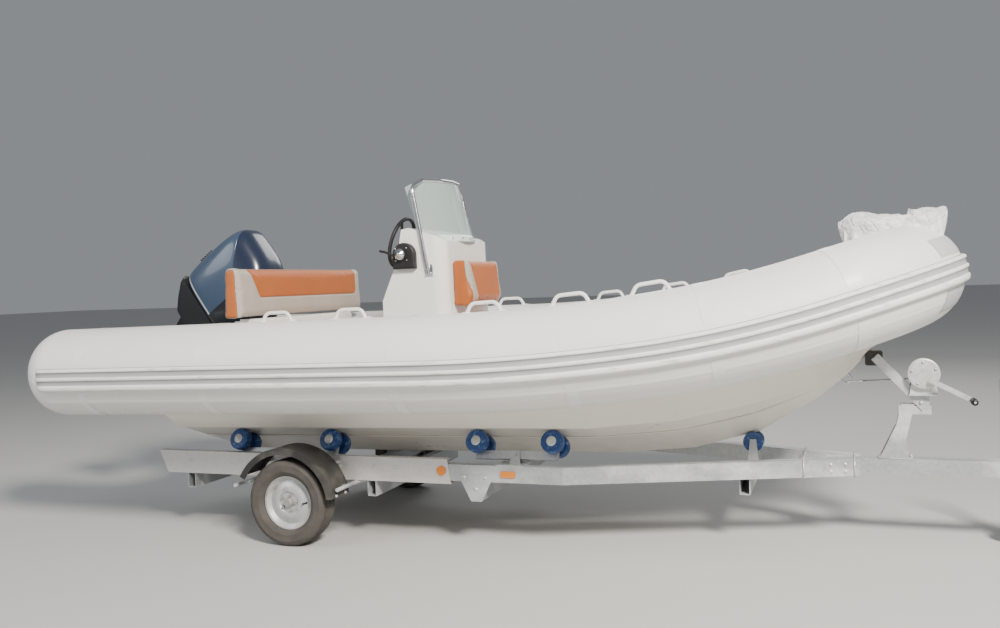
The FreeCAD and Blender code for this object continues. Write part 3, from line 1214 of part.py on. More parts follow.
# Jockey wheel: clamp and outer tube on the drawbar, sliding leg, turning fork, wheel.
jockey = Vector(size.jockey_place, size.jockey_side, 0)
outer_r = size.jockey_tube_radius
leg_radius = outer_r - 5
slide_gap = 0.5
clamp = join([Part.makeCylinder(outer_r + 12, 56, jockey + Vector(0, 0, 427), Z_AXIS),
              block((jockey.x - 36, bar_half, 427), (jockey.x + 36, jockey.y - 20, 483))])
outer_tube = Part.makeCylinder(outer_r, 450, jockey + Vector(0, 0, 420), Z_AXIS)
cap = Part.makeCylinder(outer_r + 4, 12, jockey + Vector(0, 0, 869), Z_AXIS)
bore = Part.makeCylinder(leg_radius + slide_gap, 440, jockey + Vector(0, 0, 415), Z_AXIS)
crank_post = Part.makeCylinder(9, 40, jockey + Vector(0, 0, 870), Z_AXIS)
top_crank = bent_bar([jockey + Vector(0, 0, 905), jockey + Vector(-60, 0, 905),
                      jockey + Vector(-130, 0, 880)], 8, 40)
top_grip = Part.makeCylinder(13, 80, jockey + Vector(-128, 0, 872), Z_AXIS)
solid("jockey_tube", join([clamp, outer_tube, cap, crank_post, top_crank, top_grip]).cut(bore))
leg_low = 238
stem_radius = 10
leg_bar = rod("LegBar", "jockey_tube_radius - 5", 320, ("jockey_place", "jockey_side", leg_low), Z_AXIS)
stem_bore = rod("StemBore", stem_radius + slide_gap, 16, ("jockey_place", "jockey_side", leg_low - 1),
                Z_AXIS)
keep(cut("JockeyLeg", leg_bar, stem_bore), "jockey_leg")
trail = 42
wheel_r = size.jockey_wheel_radius
wheel_spot = jockey + Vector(-trail, 0, wheel_r)
fork_half = size.jockey_wheel_width / 2 + 6
crown = block((jockey.x - trail - 30, jockey.y - fork_half - 5, 228),
              (jockey.x + 32, jockey.y + fork_half + 5, 236))
crown = rounded(crown, 25, along(Z_AXIS))
fork_stem = Part.makeCylinder(stem_radius, 14, jockey + Vector(0, 0, 234), Z_AXIS)
blades = []
for y in (jockey.y - fork_half - 5, jockey.y + fork_half):
    blades.append(prism(flat([(jockey.x - trail - 26, 230), (jockey.x + 20, 230),
                              (wheel_spot.x + 16, wheel_r - 14),
                              (wheel_spot.x - 16, wheel_r - 14)], "XZ", y), Vector(0, 5, 0)))
fork_pin_radius = 8
fork_pin = Part.makeCylinder(fork_pin_radius, 2 * fork_half + 26,
                             wheel_spot + Vector(0, -fork_half - 13, 0), Y_AXIS)
solid("jockey_fork", join([crown, fork_stem, fork_pin] + blades))
half_width = size.jockey_wheel_width / 2
wheel_bore = fork_pin_radius + slide_gap
# Columns: radius, sideways place.
half_section = [(wheel_bore, half_width), (24, half_width), (28, 16), (wheel_r - 32, 14),
                (wheel_r - 28, half_width - 4), (wheel_r - 8, half_width - 4), (wheel_r, half_width - 14)]
section = [(r, -y) for r, y in half_section] + list(reversed(half_section))
wheel_shape = face_of([Vector(0, y, r) for r, y in section]).revolve(ORIGIN, Y_AXIS, 360)
solid("jockey_wheel", wheel_shape, Placement(wheel_spot, Rotation()))

# Reflectors: a round one on each rail's front end and an oblong one on each arm.
reflectors = [rod("RoundReflector", 30, 8, ("rail_front - 40", "rail_outside", 465), Y_AXIS),
              rod("RoundReflectorRight", 30, 8, ("rail_front - 40", "-rail_outside", 465), Y_AXIS * -1),
              box("OblongReflector", (90, 8, 38), (40, "rail_outside - rail_wall", 436)),
              box("OblongReflectorRight", (90, 8, 38), (40, "rail_wall - rail_outside - 8", 436))]
keep(grouped("Reflectors", reflectors), "reflectors")

# Everything must be sound before any file is written.
document.recompute()
for item in document.Objects:
    if "Invalid" in item.State or "Error" in item.State:
        raise RuntimeError(f"{item.Name} did not build: {item.State}")
for item in nodes:
    if item.Shape.isNull() or not item.Shape.isValid() or not item.Shape.Solids:
        raise RuntimeError(f"{item.Label} has no sound shape")
os.makedirs("parts", exist_ok=True)
for item in nodes:
    item.Shape.exportStep(f"parts/{item.Label}.step")
print(len(nodes), "sub-parts written")
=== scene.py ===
import math
import bmesh
import bpy
from mathutils import Matrix, Vector, noise


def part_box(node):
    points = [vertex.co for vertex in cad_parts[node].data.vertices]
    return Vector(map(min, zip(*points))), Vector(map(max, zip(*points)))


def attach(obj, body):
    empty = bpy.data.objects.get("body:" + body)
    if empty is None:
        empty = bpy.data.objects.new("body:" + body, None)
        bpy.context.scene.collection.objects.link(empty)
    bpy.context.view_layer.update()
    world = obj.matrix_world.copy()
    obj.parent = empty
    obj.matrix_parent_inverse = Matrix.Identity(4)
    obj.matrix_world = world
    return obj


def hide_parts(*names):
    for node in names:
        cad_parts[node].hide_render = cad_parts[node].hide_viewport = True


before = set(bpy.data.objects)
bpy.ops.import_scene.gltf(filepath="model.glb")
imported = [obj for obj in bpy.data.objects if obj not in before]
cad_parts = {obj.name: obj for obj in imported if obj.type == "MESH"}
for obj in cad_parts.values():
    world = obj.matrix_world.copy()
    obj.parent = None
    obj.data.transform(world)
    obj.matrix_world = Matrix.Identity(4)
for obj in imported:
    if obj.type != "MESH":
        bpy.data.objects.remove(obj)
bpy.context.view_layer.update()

# The photographer's place: a person's eye height on the starboard side, a little ahead of
# the boat. The lens is worked out from the picture's width in pixels.
PHOTO_WIDTH = 1000
FOCAL_PIXELS = 948.5
camera_spot = Vector((2.0017, -5.9653, 1.5953))
turn_left, look_down, lean = math.radians(20.06), math.radians(1.83), math.radians(-1.96)
right = Vector((math.cos(turn_left), math.sin(turn_left), 0))
ahead = Vector((-math.sin(turn_left) * math.cos(look_down), math.cos(turn_left) * math.cos(look_down),
                -math.sin(look_down)))
upward = right.cross(ahead)
camera_data = bpy.data.cameras.new("camera")
camera_data.sensor_width = 36
camera_data.lens = FOCAL_PIXELS * camera_data.sensor_width / PHOTO_WIDTH
camera_data.clip_end = 200
camera = bpy.data.objects.new("camera", camera_data)
bpy.context.collection.objects.link(camera)
camera_right = right * math.cos(lean) + upward * math.sin(lean)
camera_up = upward * math.cos(lean) - right * math.sin(lean)
camera.matrix_world = Matrix((camera_right, camera_up, -ahead)).transposed().to_4x4()
camera.location = camera_spot
bpy.context.scene.camera = camera


def maths(operation, first, second=0.0):
    """A Math node on two values, at least one of them a Signal."""
    tree = next(value for value in (first, second) if isinstance(value, Signal)).socket.id_data
    node = tree.nodes.new("ShaderNodeMath")
    node.operation = operation
    for place, value in zip(node.inputs, (first, second)):
        if isinstance(value, Signal):
            tree.links.new(value.socket, place)
        else:
            place.default_value = value
    return Signal(node.outputs[0])


class Signal:
    """One output in a material. Sums written with it add Math nodes."""

    def __init__(self, socket):
        self.socket = socket

    def __add__(self, other):
        return maths("ADD", self, other)

    def __sub__(self, other):
        return maths("SUBTRACT", self, other)

    def __rsub__(self, other):
        return maths("SUBTRACT", other, self)

    def __mul__(self, other):
        return maths("MULTIPLY", self, other)

    def __abs__(self):
        return maths("ABSOLUTE", self)

    __radd__ = __add__
    __rmul__ = __mul__


class Finish:
    """One material, made node by node. Constants go straight on the shader."""

    def __init__(self, name, **constants):
        self.material = bpy.data.materials.new(name)
        self.material.use_nodes = True
        self.tree = self.material.node_tree
        self.shader = self.tree.nodes["Principled BSDF"]
        for word, value in constants.items():
            self.shader.inputs[word.replace("_", " ")].default_value = value
        self.place = self.node("ShaderNodeTexCoord", output="Object")
        split = self.node("ShaderNodeSeparateXYZ", {}, {"Vector": self.place}).socket.node
        self.across, self.aside, self.up = [Signal(output) for output in split.outputs]

    def node(self, kind, settings=None, values=None, output=0):
        """One node: its settings come first, then the values or links of its sockets."""
        made = self.tree.nodes.new(kind)
        for word, value in (settings or {}).items():
            setattr(made, word, value)
        for word, value in (values or {}).items():
            self.feed(made.inputs[word], value)
        return Signal(made.outputs[output])

    def feed(self, place, value):
        if isinstance(value, Signal):
            self.tree.links.new(value.socket, place)
        elif isinstance(value, tuple) and len(value) == 3 and place.type == "RGBA":
            place.default_value = (*value, 1)
        else:
            place.default_value = value

    def noise(self, scale, detail=3, stretch=(1, 1, 1)):
        spot = self.node("ShaderNodeVectorMath", {"operation": "MULTIPLY"}, {0: self.place, 1: stretch})
        return self.node("ShaderNodeTexNoise", {}, {"Vector": spot, "Scale": scale, "Detail": detail})

    def step(self, signal, low, high):
        """0 below low, 1 above high, smooth between them."""
        return self.node("ShaderNodeMapRange", {"interpolation_type": "SMOOTHSTEP"},
                         {"Value": signal, "From Min": low, "From Max": high})

    def blend(self, share, first, second):
        return self.node("ShaderNodeMix", {"data_type": "RGBA"}, {0: share, 6: first, 7: second}, output=2)

    def relief(self, height, depth, strength=1.0, under=None):
        values = {"Height": height, "Distance": depth, "Strength": strength}
        if under:
            values["Normal"] = under
        return self.node("ShaderNodeBump", {}, values)

    def finish(self, **links):
        for word, value in links.items():
            self.feed(self.shader.inputs[word.replace("_", " ")], value)
        return self


def dress(finish, *names):
    """Give construction nodes their real finish."""
    for name in names:
        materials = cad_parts[name].data.materials
        materials.clear()
        materials.append(finish.material)


# Studio: a plain pale floor, a sky that lights evenly, a broad key light from the bow's side and a
# weak fill.
FLOOR_REACH = 90
studio = Finish("studio_floor", Roughness=0.85, Base_Color=(0.50, 0.50, 0.49, 1))
floor_mesh = bpy.data.meshes.new("studio_floor")
floor_corners = [(FLOOR_REACH * x, FLOOR_REACH * y, 0) for x, y in ((-1, -1), (1, -1), (1, 1), (-1, 1))]
floor_mesh.from_pydata(floor_corners, [], [(0, 1, 2, 3)])
floor_mesh.materials.append(studio.material)
floor = bpy.data.objects.new("studio_floor", floor_mesh)
bpy.context.collection.objects.link(floor)
sky = bpy.data.worlds.new("studio_sky")
sky.use_nodes = True
for word, value in (("Color", (0.86, 0.90, 0.96, 1)), ("Strength", 0.30)):
    sky.node_tree.nodes["Background"].inputs[word].default_value = value
bpy.context.scene.world = sky
for name, spot, aim, width, power, shade in (
        ("key_light", (6.5, -7.5, 8.0), (0.2, 0, 1.0), 2.6, 3100, (1.0, 0.945, 0.86)),
        ("fill_light", (-7.0, -6.0, 5.0), (-0.5, 0, 0.9), 5.0, 260, (0.92, 0.96, 1.0)),
        ("far_light", (0.0, 9.0, 6.5), (0.0, 0, 1.0), 5.0, 260, (1.0, 1.0, 1.0))):
    lamp = bpy.data.lights.new(name, "AREA")
    lamp.shape = "DISK"
    lamp.size = width
    lamp.energy = power
    lamp.color = shade
    stand = bpy.data.objects.new(name, lamp)
    stand.location = spot
    stand.rotation_euler = (Vector(aim) - Vector(spot)).to_track_quat("-Z", "Y").to_euler()
    bpy.context.collection.objects.link(stand)


# Buoyancy collar: an air-filled tube of coated white fabric that runs round the bow. Its panels are
# glued edge to edge under welded seam tapes, and it is blown up through valves on its inner side.
# The boat sits bow up on the trailer, turned about the axle.
TRIM = math.radians(-0.94)
AXLE_X = -1.3
TO_AXLE = Matrix.Translation((AXLE_X, 0, 0))
BOAT = TO_AXLE @ Matrix.Rotation(TRIM, 4, "Y") @ TO_AXLE.inverted()
ROOT = "boat_and_trailer"
TUBE_RADIUS, TUBE_STERN, SHEER_START = 0.285, -2.860, -0.229
TUBE_SIDE, TUBE_HIGH = -0.985, 1.127
# Radius, degrees turned and degrees that the bend leans up. The last one closes the ring.
TUBE_BENDS = ((5.894, 11.1, 29.7), (5.0, 11.9, 56.5), (None, None, 0))
SEAM_RISE, RUN_RISE, PATCH_RISE, EDGE_RISE = 0.0016, 0.0014, 0.0022, 0.0002


def shape(name, points, faces, finish, body=ROOT, place=BOAT, smooth=True, slot=None):
    """A mesh piece on a body, drawn in the axes of what it belongs to."""
    mesh = bpy.data.meshes.new(name)
    mesh.from_pydata([tuple(p) for p in points], [], faces)
    mesh.validate()
    finishes = finish if isinstance(finish, (list, tuple)) else [finish]
    for each in finishes:
        mesh.materials.append(each.material)
    mesh.polygons.foreach_set("use_smooth", [smooth] * len(mesh.polygons))
    item = bpy.data.objects.new(name, mesh)
    bpy.context.collection.objects.link(item)
    item.matrix_world = place
    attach(item, body)
    return item


def tube_frames(spacing):
    """Places along the starboard tube: middle, heading, outward and up, from the stern to the bow."""
    here = Vector((TUBE_STERN, TUBE_SIDE, TUBE_HIGH))
    heading, outward, upward_here = Vector((1, 0, 0)), Vector((0, -1, 0)), Vector((0, 0, 1))
    straight = SHEER_START - TUBE_STERN
    pieces = int(straight / spacing) + 1
    frames = [(here + heading * (straight * number / pieces), heading, outward, upward_here)
              for number in range(pieces)]
    here = Vector((SHEER_START, TUBE_SIDE, TUBE_HIGH))
    for radius, turn, tilt in TUBE_BENDS:
        level = (Vector((0, 1, 0)) - heading * heading.y).normalized()
        inward = level * math.cos(math.radians(tilt)) + heading.cross(level) * math.sin(math.radians(tilt))
        if radius is None:
            angle = heading.angle(Vector((0, 1, 0)))
            radius = -here.y / (math.sin(angle) * heading.y + (1 - math.cos(angle)) * inward.y)
        else:
            angle = math.radians(turn)
        axis = heading.cross(inward)
        centre = here + inward * radius
        steps = max(8, int(radius * angle / spacing))
        for number in range(steps + (tilt == 0)):
            spin = Matrix.Rotation(angle * number / steps, 3, axis)
            middle = centre + spin @ (here - centre)
            frames.append((middle, spin @ heading, spin @ outward, spin @ upward_here))
        spin = Matrix.Rotation(angle, 3, axis)
        here = centre + spin @ (here - centre)
        heading, outward, upward_here = spin @ heading, spin @ outward, spin @ upward_here
    return frames


def on_tube(frame_here, angle, height):
    """A spot on the tube: degrees up from level on the outer side, and metres off its skin."""
    middle, heading, outward, upward_here = frame_here
    turn = math.radians(angle)
    return middle + (outward * math.cos(turn) + upward_here * math.sin(turn)) * (TUBE_RADIUS + height)


def strip(rows, closed=False):
    """Quads between rows of points."""
    across = len(rows[0])
    points = [p for row in rows for p in row]
    faces = []
    for r in range(len(rows) - 1):
        for c in range(across if closed else across - 1):
            a, b = r * across + c, r * across + (c + 1) % across
            faces.append((a, b, b + across, a + across))
    return points, faces


def gather(parts):
    """Several point and face lists as one."""
    points, faces = [], []
    for more_points, more_faces in parts:
        faces += [tuple(i + len(points) for i in face) for face in more_faces]
        points += list(more_points)
    return points, faces


def to_port(points, faces):
    """The mirror image of a starboard piece."""
    return [Vector((p[0], -p[1], p[2])) for p in points], [tuple(reversed(face)) for face in faces]


def mirrored(points, faces):
    """A starboard piece and its mirror image."""
    return gather([(points, faces), to_port(points, faces)])


def tape(frames, low, high, rise, steps=10):
    """A thin strip glued round part of the tube, with its edges pressed down."""
    angles = [low + (high - low) * n / steps for n in range(steps + 1)]
    return strip([[on_tube(f, a, rise if 0 < n < steps else EDGE_RISE) for n, a in enumerate(angles)]
                  for f in frames])


def mottled(name, tone, dark, light, wear=None, rough=None, grain=None, relief=None, **constants):
    """A finish in two shades. The tone is a noise, and wear is the part of it that changes over.
    rough is the least roughness and what the tone adds; relief is cut by the grain or the tone."""
    made = Finish(name, **constants)
    shade = made.noise(*tone)
    links = {"Base_Color": made.blend(made.step(shade, *wear) if wear else shade, dark, light)}
    if rough:
        links["Roughness"] = rough[0] + rough[1] * shade
    if relief:
        links["Normal"] = made.relief(made.noise(*grain) if grain else shade, *relief)
    return made.finish(**links)


pvc = Finish("white_coated_fabric", Specular_IOR_Level=0.4)
cloudy = pvc.noise(1.3, 4)
speckle = pvc.noise(38, 6)
# The tube's lower half is painted darker, a painted shade under the tube, broken up by the speckle.
under = pvc.step(pvc.up, 1.05, 0.78)
fabric_tone = pvc.blend(cloudy, (0.79, 0.775, 0.745), (0.86, 0.85, 0.825))
shaded_beneath = pvc.blend(under * 0.45 * speckle, fabric_tone, (0.45, 0.41, 0.36))
weave = pvc.node("ShaderNodeTexWave", {"wave_type": "BANDS", "bands_direction": "DIAGONAL"},
                 {"Vector": pvc.place, "Scale": 260.0, "Distortion": 0.3})
soft_dents = pvc.relief(pvc.noise(4.5, 2), 0.004, 0.35)
pvc.finish(Base_Color=shaded_beneath, Roughness=0.36 + 0.16 * speckle,
           Normal=pvc.relief(weave, 0.0004, 0.25, soft_dents))
dress(pvc, "tube_collar")

seam_tape = mottled("seam_tape", (6, 4), (0.80, 0.79, 0.76), (0.87, 0.86, 0.84),
                    grain=(90, 4), relief=(0.0006, 0.3), Roughness=0.36)
all_frames = tube_frames(0.03)
tapes = []
for where in (-2.55, -1.62, -0.35, 0.62, 1.32, 1.98, 2.4):
    nearest = min(range(len(all_frames)), key=lambda n: abs(all_frames[n][0].x - where))
    near = all_frames[nearest - 1:nearest + 2]
    tapes += [tape(near, 12, 172, SEAM_RISE, 40), tape(near, -24, -80, SEAM_RISE, 16)]
for low, high in ((-35, -41), (119, 127)):
    tapes.append(tape(tube_frames(0.08)[:-2], low, high, RUN_RISE, 4))
shape("collar_seam_tapes", *mirrored(*gather(tapes)), seam_tape, slot="pvc_white")

patch_grey = mottled("grey_wear_patch", (18, 5), (0.44, 0.45, 0.46), (0.56, 0.57, 0.57),
                     grain=(320, 3), relief=(0.0006, 0.5), Roughness=0.62)
nose = [f for f in all_frames if f[0].y > -0.36]
patches = [tape(nose, low, high, PATCH_RISE, 8) for low, high in ((36, 12), (-24, -52))]
shape("nose_wear_patch", *mirrored(*gather(patches)), patch_grey, slot="strake_grey")


def turned(profile, centre, axis, count=48):
    """Turn a profile of (radius, height along the axis) about an axis."""
    axis = Vector(axis).normalized()
    side = axis.orthogonal().normalized()
    other = axis.cross(side)
    rows = [[Vector(centre) + axis * h + (side * math.cos(math.tau * n / count)
             + other * math.sin(math.tau * n / count)) * r for n in range(count)] for r, h in profile]
    return strip(rows, closed=True)


black_plastic = Finish("moulded_black_plastic", Specular_IOR_Level=0.3)
black_plastic.finish(
    Base_Color=black_plastic.blend(black_plastic.noise(7, 5), (0.010, 0.010, 0.011), (0.026, 0.025, 0.025)),
    Roughness=0.38 + 0.2 * black_plastic.noise(22, 4),
    Normal=black_plastic.relief(black_plastic.noise(700, 2), 0.0004, 0.35))
VALVE = [(0.034, 0.001), (0.034, 0.004), (0.031, 0.007), (0.024, 0.008), (0.023, 0.013), (0.019, 0.015),
         (0.0, 0.0155)]
valves = []
for where, side in ((-2.2, -1), (0.25, -1), (-2.2, 1), (0.25, 1), (1.7, 1)):
    spot = min(all_frames, key=lambda f: abs(f[0].x - where))
    base = on_tube(spot, 142, 0)
    out = (base - spot[0]).normalized()
    if side > 0:
        base, out = Vector((base.x, -base.y, base.z)), Vector((out.x, -out.y, out.z))
    valves.append(turned(VALVE, base, out, 28))
shape("collar_valves", *gather(valves), black_plastic, slot="black_plastic")


# Rubbing strake: a wide band of grey moulded rubber glued along the tube's outer side. Its raised
# ribs are white, so that scuffs show least where a pontoon touches it.
# Its outline: degrees up round the tube, and how far it stands off. The raised columns are white.
STRAKE = [(9.0, 0.0), (8.85, 0.010), (8.0, 0.015), (6.6, 0.022), (6.0, 0.024), (4.6, 0.024), (4.0, 0.022),
          (3.4, 0.015), (0.8, 0.0145), (-2.2, 0.015), (-2.8, 0.022), (-3.4, 0.024), (-5.2, 0.024),
          (-5.9, 0.022), (-6.5, 0.015), (-9.4, 0.0145), (-12.3, 0.015), (-12.9, 0.022), (-13.6, 0.025),
          (-16.2, 0.0265), (-18.6, 0.025), (-19.5, 0.016), (-20.2, 0.0)]
RIB_COLUMNS = {*range(2, 6), *range(9, 14), *range(16, 22)}
rib_white = mottled("strake_rib_white", (24, 6, (0.25, 1, 2)), (0.84, 0.83, 0.80), (0.58, 0.57, 0.55),
                    wear=(0.52, 0.72), relief=(0.0008, 0.3), Roughness=0.5)
strake_grey = mottled("strake_grey_rubber", (16, 6, (0.3, 1, 2)), (0.31, 0.32, 0.33), (0.46, 0.46, 0.46),
                      rough=(0.45, 0.3), grain=(260, 2), relief=(0.0005, 0.4))
strake_frames = tube_frames(0.04)
strake_end = [on_tube(strake_frames[0], angle, min(height, 0.001)) - Vector((0.03, 0, 0))
              for angle, height in STRAKE]
strake_points, strake_faces = strip(
    [strake_end] + [[on_tube(f, angle, height) for angle, height in STRAKE] for f in strake_frames])
strake = shape("rubbing_strake", *mirrored(strake_points, strake_faces), [strake_grey, rib_white],
               slot="strake_grey")
for number, face in enumerate(strake.data.polygons):
    face.material_index = int(number % len(strake_faces) % (len(STRAKE) - 1) in RIB_COLUMNS)
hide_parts("rub_strake")


# Hull: a deep-V moulding in cream gelcoat over glass fibre, with a folded chine and a second spray rail below
# it. Low down it is painted darker, a painted shade over its bottom.
gelcoat = Finish("cream_gelcoat", Coat_Weight=0.5, Coat_Roughness=0.08)
wear = gelcoat.noise(5, 6, (1, 1, 2))
# The bottom is painted darker towards the keel, a painted shade, broken up by noise.
painted_low_shade = gelcoat.step(gelcoat.up, 0.80, 0.46) * gelcoat.noise(9, 5)
cream = gelcoat.blend(gelcoat.noise(1.2, 2), (0.80, 0.75, 0.67), (0.84, 0.80, 0.73))
gelcoat.finish(Base_Color=gelcoat.blend(painted_low_shade * 0.5, cream, (0.36, 0.32, 0.27)),
               Roughness=0.20 + 0.25 * wear, Normal=gelcoat.relief(gelcoat.noise(2.6, 1), 0.002, 0.2))
dress(gelcoat, "hull")
# Columns: length, keel height, chine half width, chine height.
HULL_BOTTOM = [(-2.30, 0.450, 0.640, 0.708), (-0.229, 0.450, 0.640, 0.708), (0.60, 0.452, 0.630, 0.706),
               (1.10, 0.490, 0.545, 0.742), (1.50, 0.594, 0.375, 0.812), (1.85, 0.800, 0.160, 0.895)]


def hull_bottom(x, share):
    """A spot on the starboard bottom, share of the way from the keel to the chine."""
    for before, after in zip(HULL_BOTTOM, HULL_BOTTOM[1:]):
        if x <= after[0]:
            part = (x - before[0]) / (after[0] - before[0])
            keel, half, high = [a + (b - a) * part for a, b in zip(before[1:], after[1:])]
            return Vector((x, -half * share, keel + (high - keel) * share))
    return Vector((x, -0.16 * share, 0.8))


SPRAY_AFT, SPRAY_FORE, SPRAY_STEPS, SPRAY_FADE = -2.232, 1.80, 59, 0.35
spray_rows = []
for number in range(SPRAY_STEPS + 1):
    x = SPRAY_AFT + number * (SPRAY_FORE - SPRAY_AFT) / SPRAY_STEPS
    fade = min(1, (SPRAY_FORE + 0.02 - x) / SPRAY_FADE)
    inner, ledge, outer = hull_bottom(x, 0.60), hull_bottom(x, 0.655), hull_bottom(x, 0.675)
    ledge = ledge + Vector((0, -0.016, 0.001)) * fade
    sunk = Vector((0, 0, -0.0005))
    spray_rows.append([inner + sunk, inner.lerp(ledge, 0.9) + Vector((0, 0, -0.003 * fade)), ledge,
                       ledge + Vector((0, 0.001, 0.004 * fade)), outer + sunk])
shape("spray_rails", *mirrored(*strip(spray_rows)), gelcoat, slot="gelcoat_cream")


# Deck moulding, bow locker, lid and foredeck: one white gelcoat family. Walked surfaces carry a
# moulded diamond grip; the lid closes on a rubber seal, with two hinges forward and a latch aft.
deck_white = Finish("white_gelcoat_deck", Coat_Weight=0.25, Coat_Roughness=0.15)
tread = deck_white.node("ShaderNodeTexVoronoi", {"feature": "F1", "distance": "CHEBYCHEV"},
                        {"Vector": deck_white.place, "Scale": 95.0, "Randomness": 0.0})
grime = deck_white.noise(4, 6)
deck_white.finish(
    Base_Color=deck_white.blend(deck_white.step(grime, 0.48, 0.7), (0.82, 0.81, 0.78), (0.66, 0.64, 0.60)),
    Roughness=0.34 + 0.3 * grime,
    Normal=deck_white.relief(deck_white.step(tread, 0.2, 0.45), 0.0008, 0.5))
smooth_white = mottled("white_gelcoat", (2.2, 5), (0.83, 0.81, 0.76), (0.88, 0.87, 0.83),
                       rough=(0.18, 0.2), grain=(3.0, 1), relief=(0.001, 0.2),
                       Coat_Weight=0.6, Coat_Roughness=0.05)
dress(deck_white, "deck_moulding", "foredeck", "bow_step", "bow_locker_lid")
dress(smooth_white, "bow_locker")
stainless = Finish("polished_stainless", Metallic=1.0, Base_Color=(0.74, 0.75, 0.76, 1))
stainless.finish(Roughness=0.10 + 0.22 * stainless.noise(14, 5, (1, 1, 4)),
                 Normal=stainless.relief(stainless.noise(210, 2), 0.0002, 0.2))


def plate(low, high, edge=0.002):
    """A small block with its edges taken off."""
    made = bmesh.new()
    bmesh.ops.create_cube(made, size=1.0)
    middle = (Vector(low) + Vector(high)) / 2
    span = Vector(high) - Vector(low)
    bmesh.ops.scale(made, vec=span, verts=made.verts)
    bmesh.ops.translate(made, vec=middle, verts=made.verts)
    bmesh.ops.bevel(made, geom=made.edges[:], offset=min(edge, min(span) * 0.45), segments=2, profile=0.5,
                    affect="EDGES")
    points = [v.co.copy() for v in made.verts]
    faces = [tuple(v.index for v in f.verts) for f in made.faces]
    made.free()
    return points, faces


def bolt(spot, out, size=0.008):
    """A washer and a domed hexagon head standing off a surface."""
    out = Vector(out).normalized()
    washer = turned([(size * 1.25, 0.0), (size * 1.25, 0.0012), (size * 0.9, 0.0016)], spot, out, 20)
    head = turned([(size, 0.0012), (size, 0.006), (size * 0.86, 0.0075), (0.0, 0.0079)], spot, out, 6)
    return gather([washer, head])


LID_TOP = 1.3783
lid_fittings = [bolt((x, y + aside, LID_TOP), (0, 0, 1), 0.0045)
                for y in (-0.2, 0.2) for aside in (-0.018, 0.018) for x in (1.500, 1.520)]
lid_fittings.append(plate((0.992, -0.03, 1.375), (1.05, 0.03, 1.3795), 0.0015))
lid_fittings.append(turned([(0.017, 0.0), (0.017, 0.003), (0.012, 0.0045), (0.0, 0.0045)],
                           (1.022, 0, LID_TOP + 0.0002), (0, 0, 1), 28))
shape("locker_lid_fittings", *gather(lid_fittings), stainless, body="locker_lid", slot="stainless")


# Bow step: a moulded tread still wrapped in the thin milky film that it was shipped in. The film is
# one sheet, pulled over the step and gathered round its foot, with a loose flap that stands up.
film = Finish("milky_wrapping_film", IOR=1.45, Transmission_Weight=0.25, Alpha=0.93)
crease = film.node("ShaderNodeTexVoronoi", {"feature": "DISTANCE_TO_EDGE"},
                   {"Vector": film.place, "Scale": 16.0, "Randomness": 1.0})
crinkle = film.noise(34, 7, (1, 1.7, 1))
film.finish(Base_Color=film.blend(crinkle, (0.80, 0.80, 0.82), (0.93, 0.93, 0.93)),
            Roughness=0.25 + 0.3 * crinkle,
            Normal=film.relief(crinkle, 0.010, 0.7, film.relief(film.step(crease, 0.0, 0.12), 0.006, 0.5)))


WRAP_AFT, WRAP_LONG, WRAP_FOOT, WRAP_TOP, WRAP_HALF = 1.985, 0.60, 1.66, 1.845, 0.212
WRAP_CORNER = 0.32
WRAP_STEPS, WRAP_TURNS = 44, 80
FLAP_STEPS, FLAP_TURNS = 21, 30


def film_rows():
    """The film over the step, a row across at each place along it."""
    rows = []
    middle = WRAP_AFT + WRAP_LONG / 2
    for i in range(WRAP_STEPS + 1):
        along = i / WRAP_STEPS
        x = WRAP_AFT + along * WRAP_LONG
        top = WRAP_TOP + 0.012 * math.sin(along * 9) - 0.03 * max(0, 0.12 - along) / 0.12
        half = WRAP_HALF - 0.06 * max(0, abs(along - 0.5) - 0.38) / 0.12
        row = []
        for j in range(WRAP_TURNS + 1):
            share = j / WRAP_TURNS
            turn = math.pi * share
            y = -half * math.copysign(abs(math.cos(turn)) ** WRAP_CORNER, math.cos(turn))
            rise = math.sin(turn) ** WRAP_CORNER
            z = WRAP_FOOT + (top - WRAP_FOOT) * rise
            tuck = 1 - 0.17 * (1 - rise) - 0.05 * (1 - abs(2 * share - 1))
            folds = math.sin(23 * share + 4 * math.sin(along * 5)) * 0.006 * (1.4 - rise)
            crumple = 0
            for scale, depth in ((7, 0.016), (15, 0.009), (33, 0.004)):
                seed = Vector((x * scale, y * scale + 3.1, z * scale * 1.4))
                crumple += depth * abs(noise.noise(seed)) * 2
            out = Vector((0, y, (z - 1.62) * 0.8)).normalized()
            row.append(Vector((middle + (x - middle) * tuck, y, z)) + out * (0.004 + folds + crumple))
        rows.append(row)
    return rows


def flap_rows():
    """The loose flap that stands up beside the step."""
    rows = []
    for i in range(FLAP_STEPS + 1):
        up = i / FLAP_STEPS
        row = []
        for j in range(FLAP_TURNS + 1):
            share = j / FLAP_TURNS
            ruffle = 0.02 * math.sin(share * 11 + up * 2) * (0.4 + up)
            ragged = 0.012 * noise.noise(Vector((share * 6, up * 4, 1.7)))
            row.append(Vector((2.345 + 0.13 * share + 0.055 * up * (0.4 + share) + ragged,
                               -0.225 + 0.03 * up + ruffle + 0.25 * share * share,
                               1.69 + (0.165 + 0.02 * math.cos(share * 5)) * up + ragged)))
        rows.append(row)
    return rows


wrap_points, wrap_faces = gather([strip(film_rows()), strip(flap_rows())])
wrapping = shape("bow_step_wrapping", wrap_points, wrap_faces, film, slot="film_white")


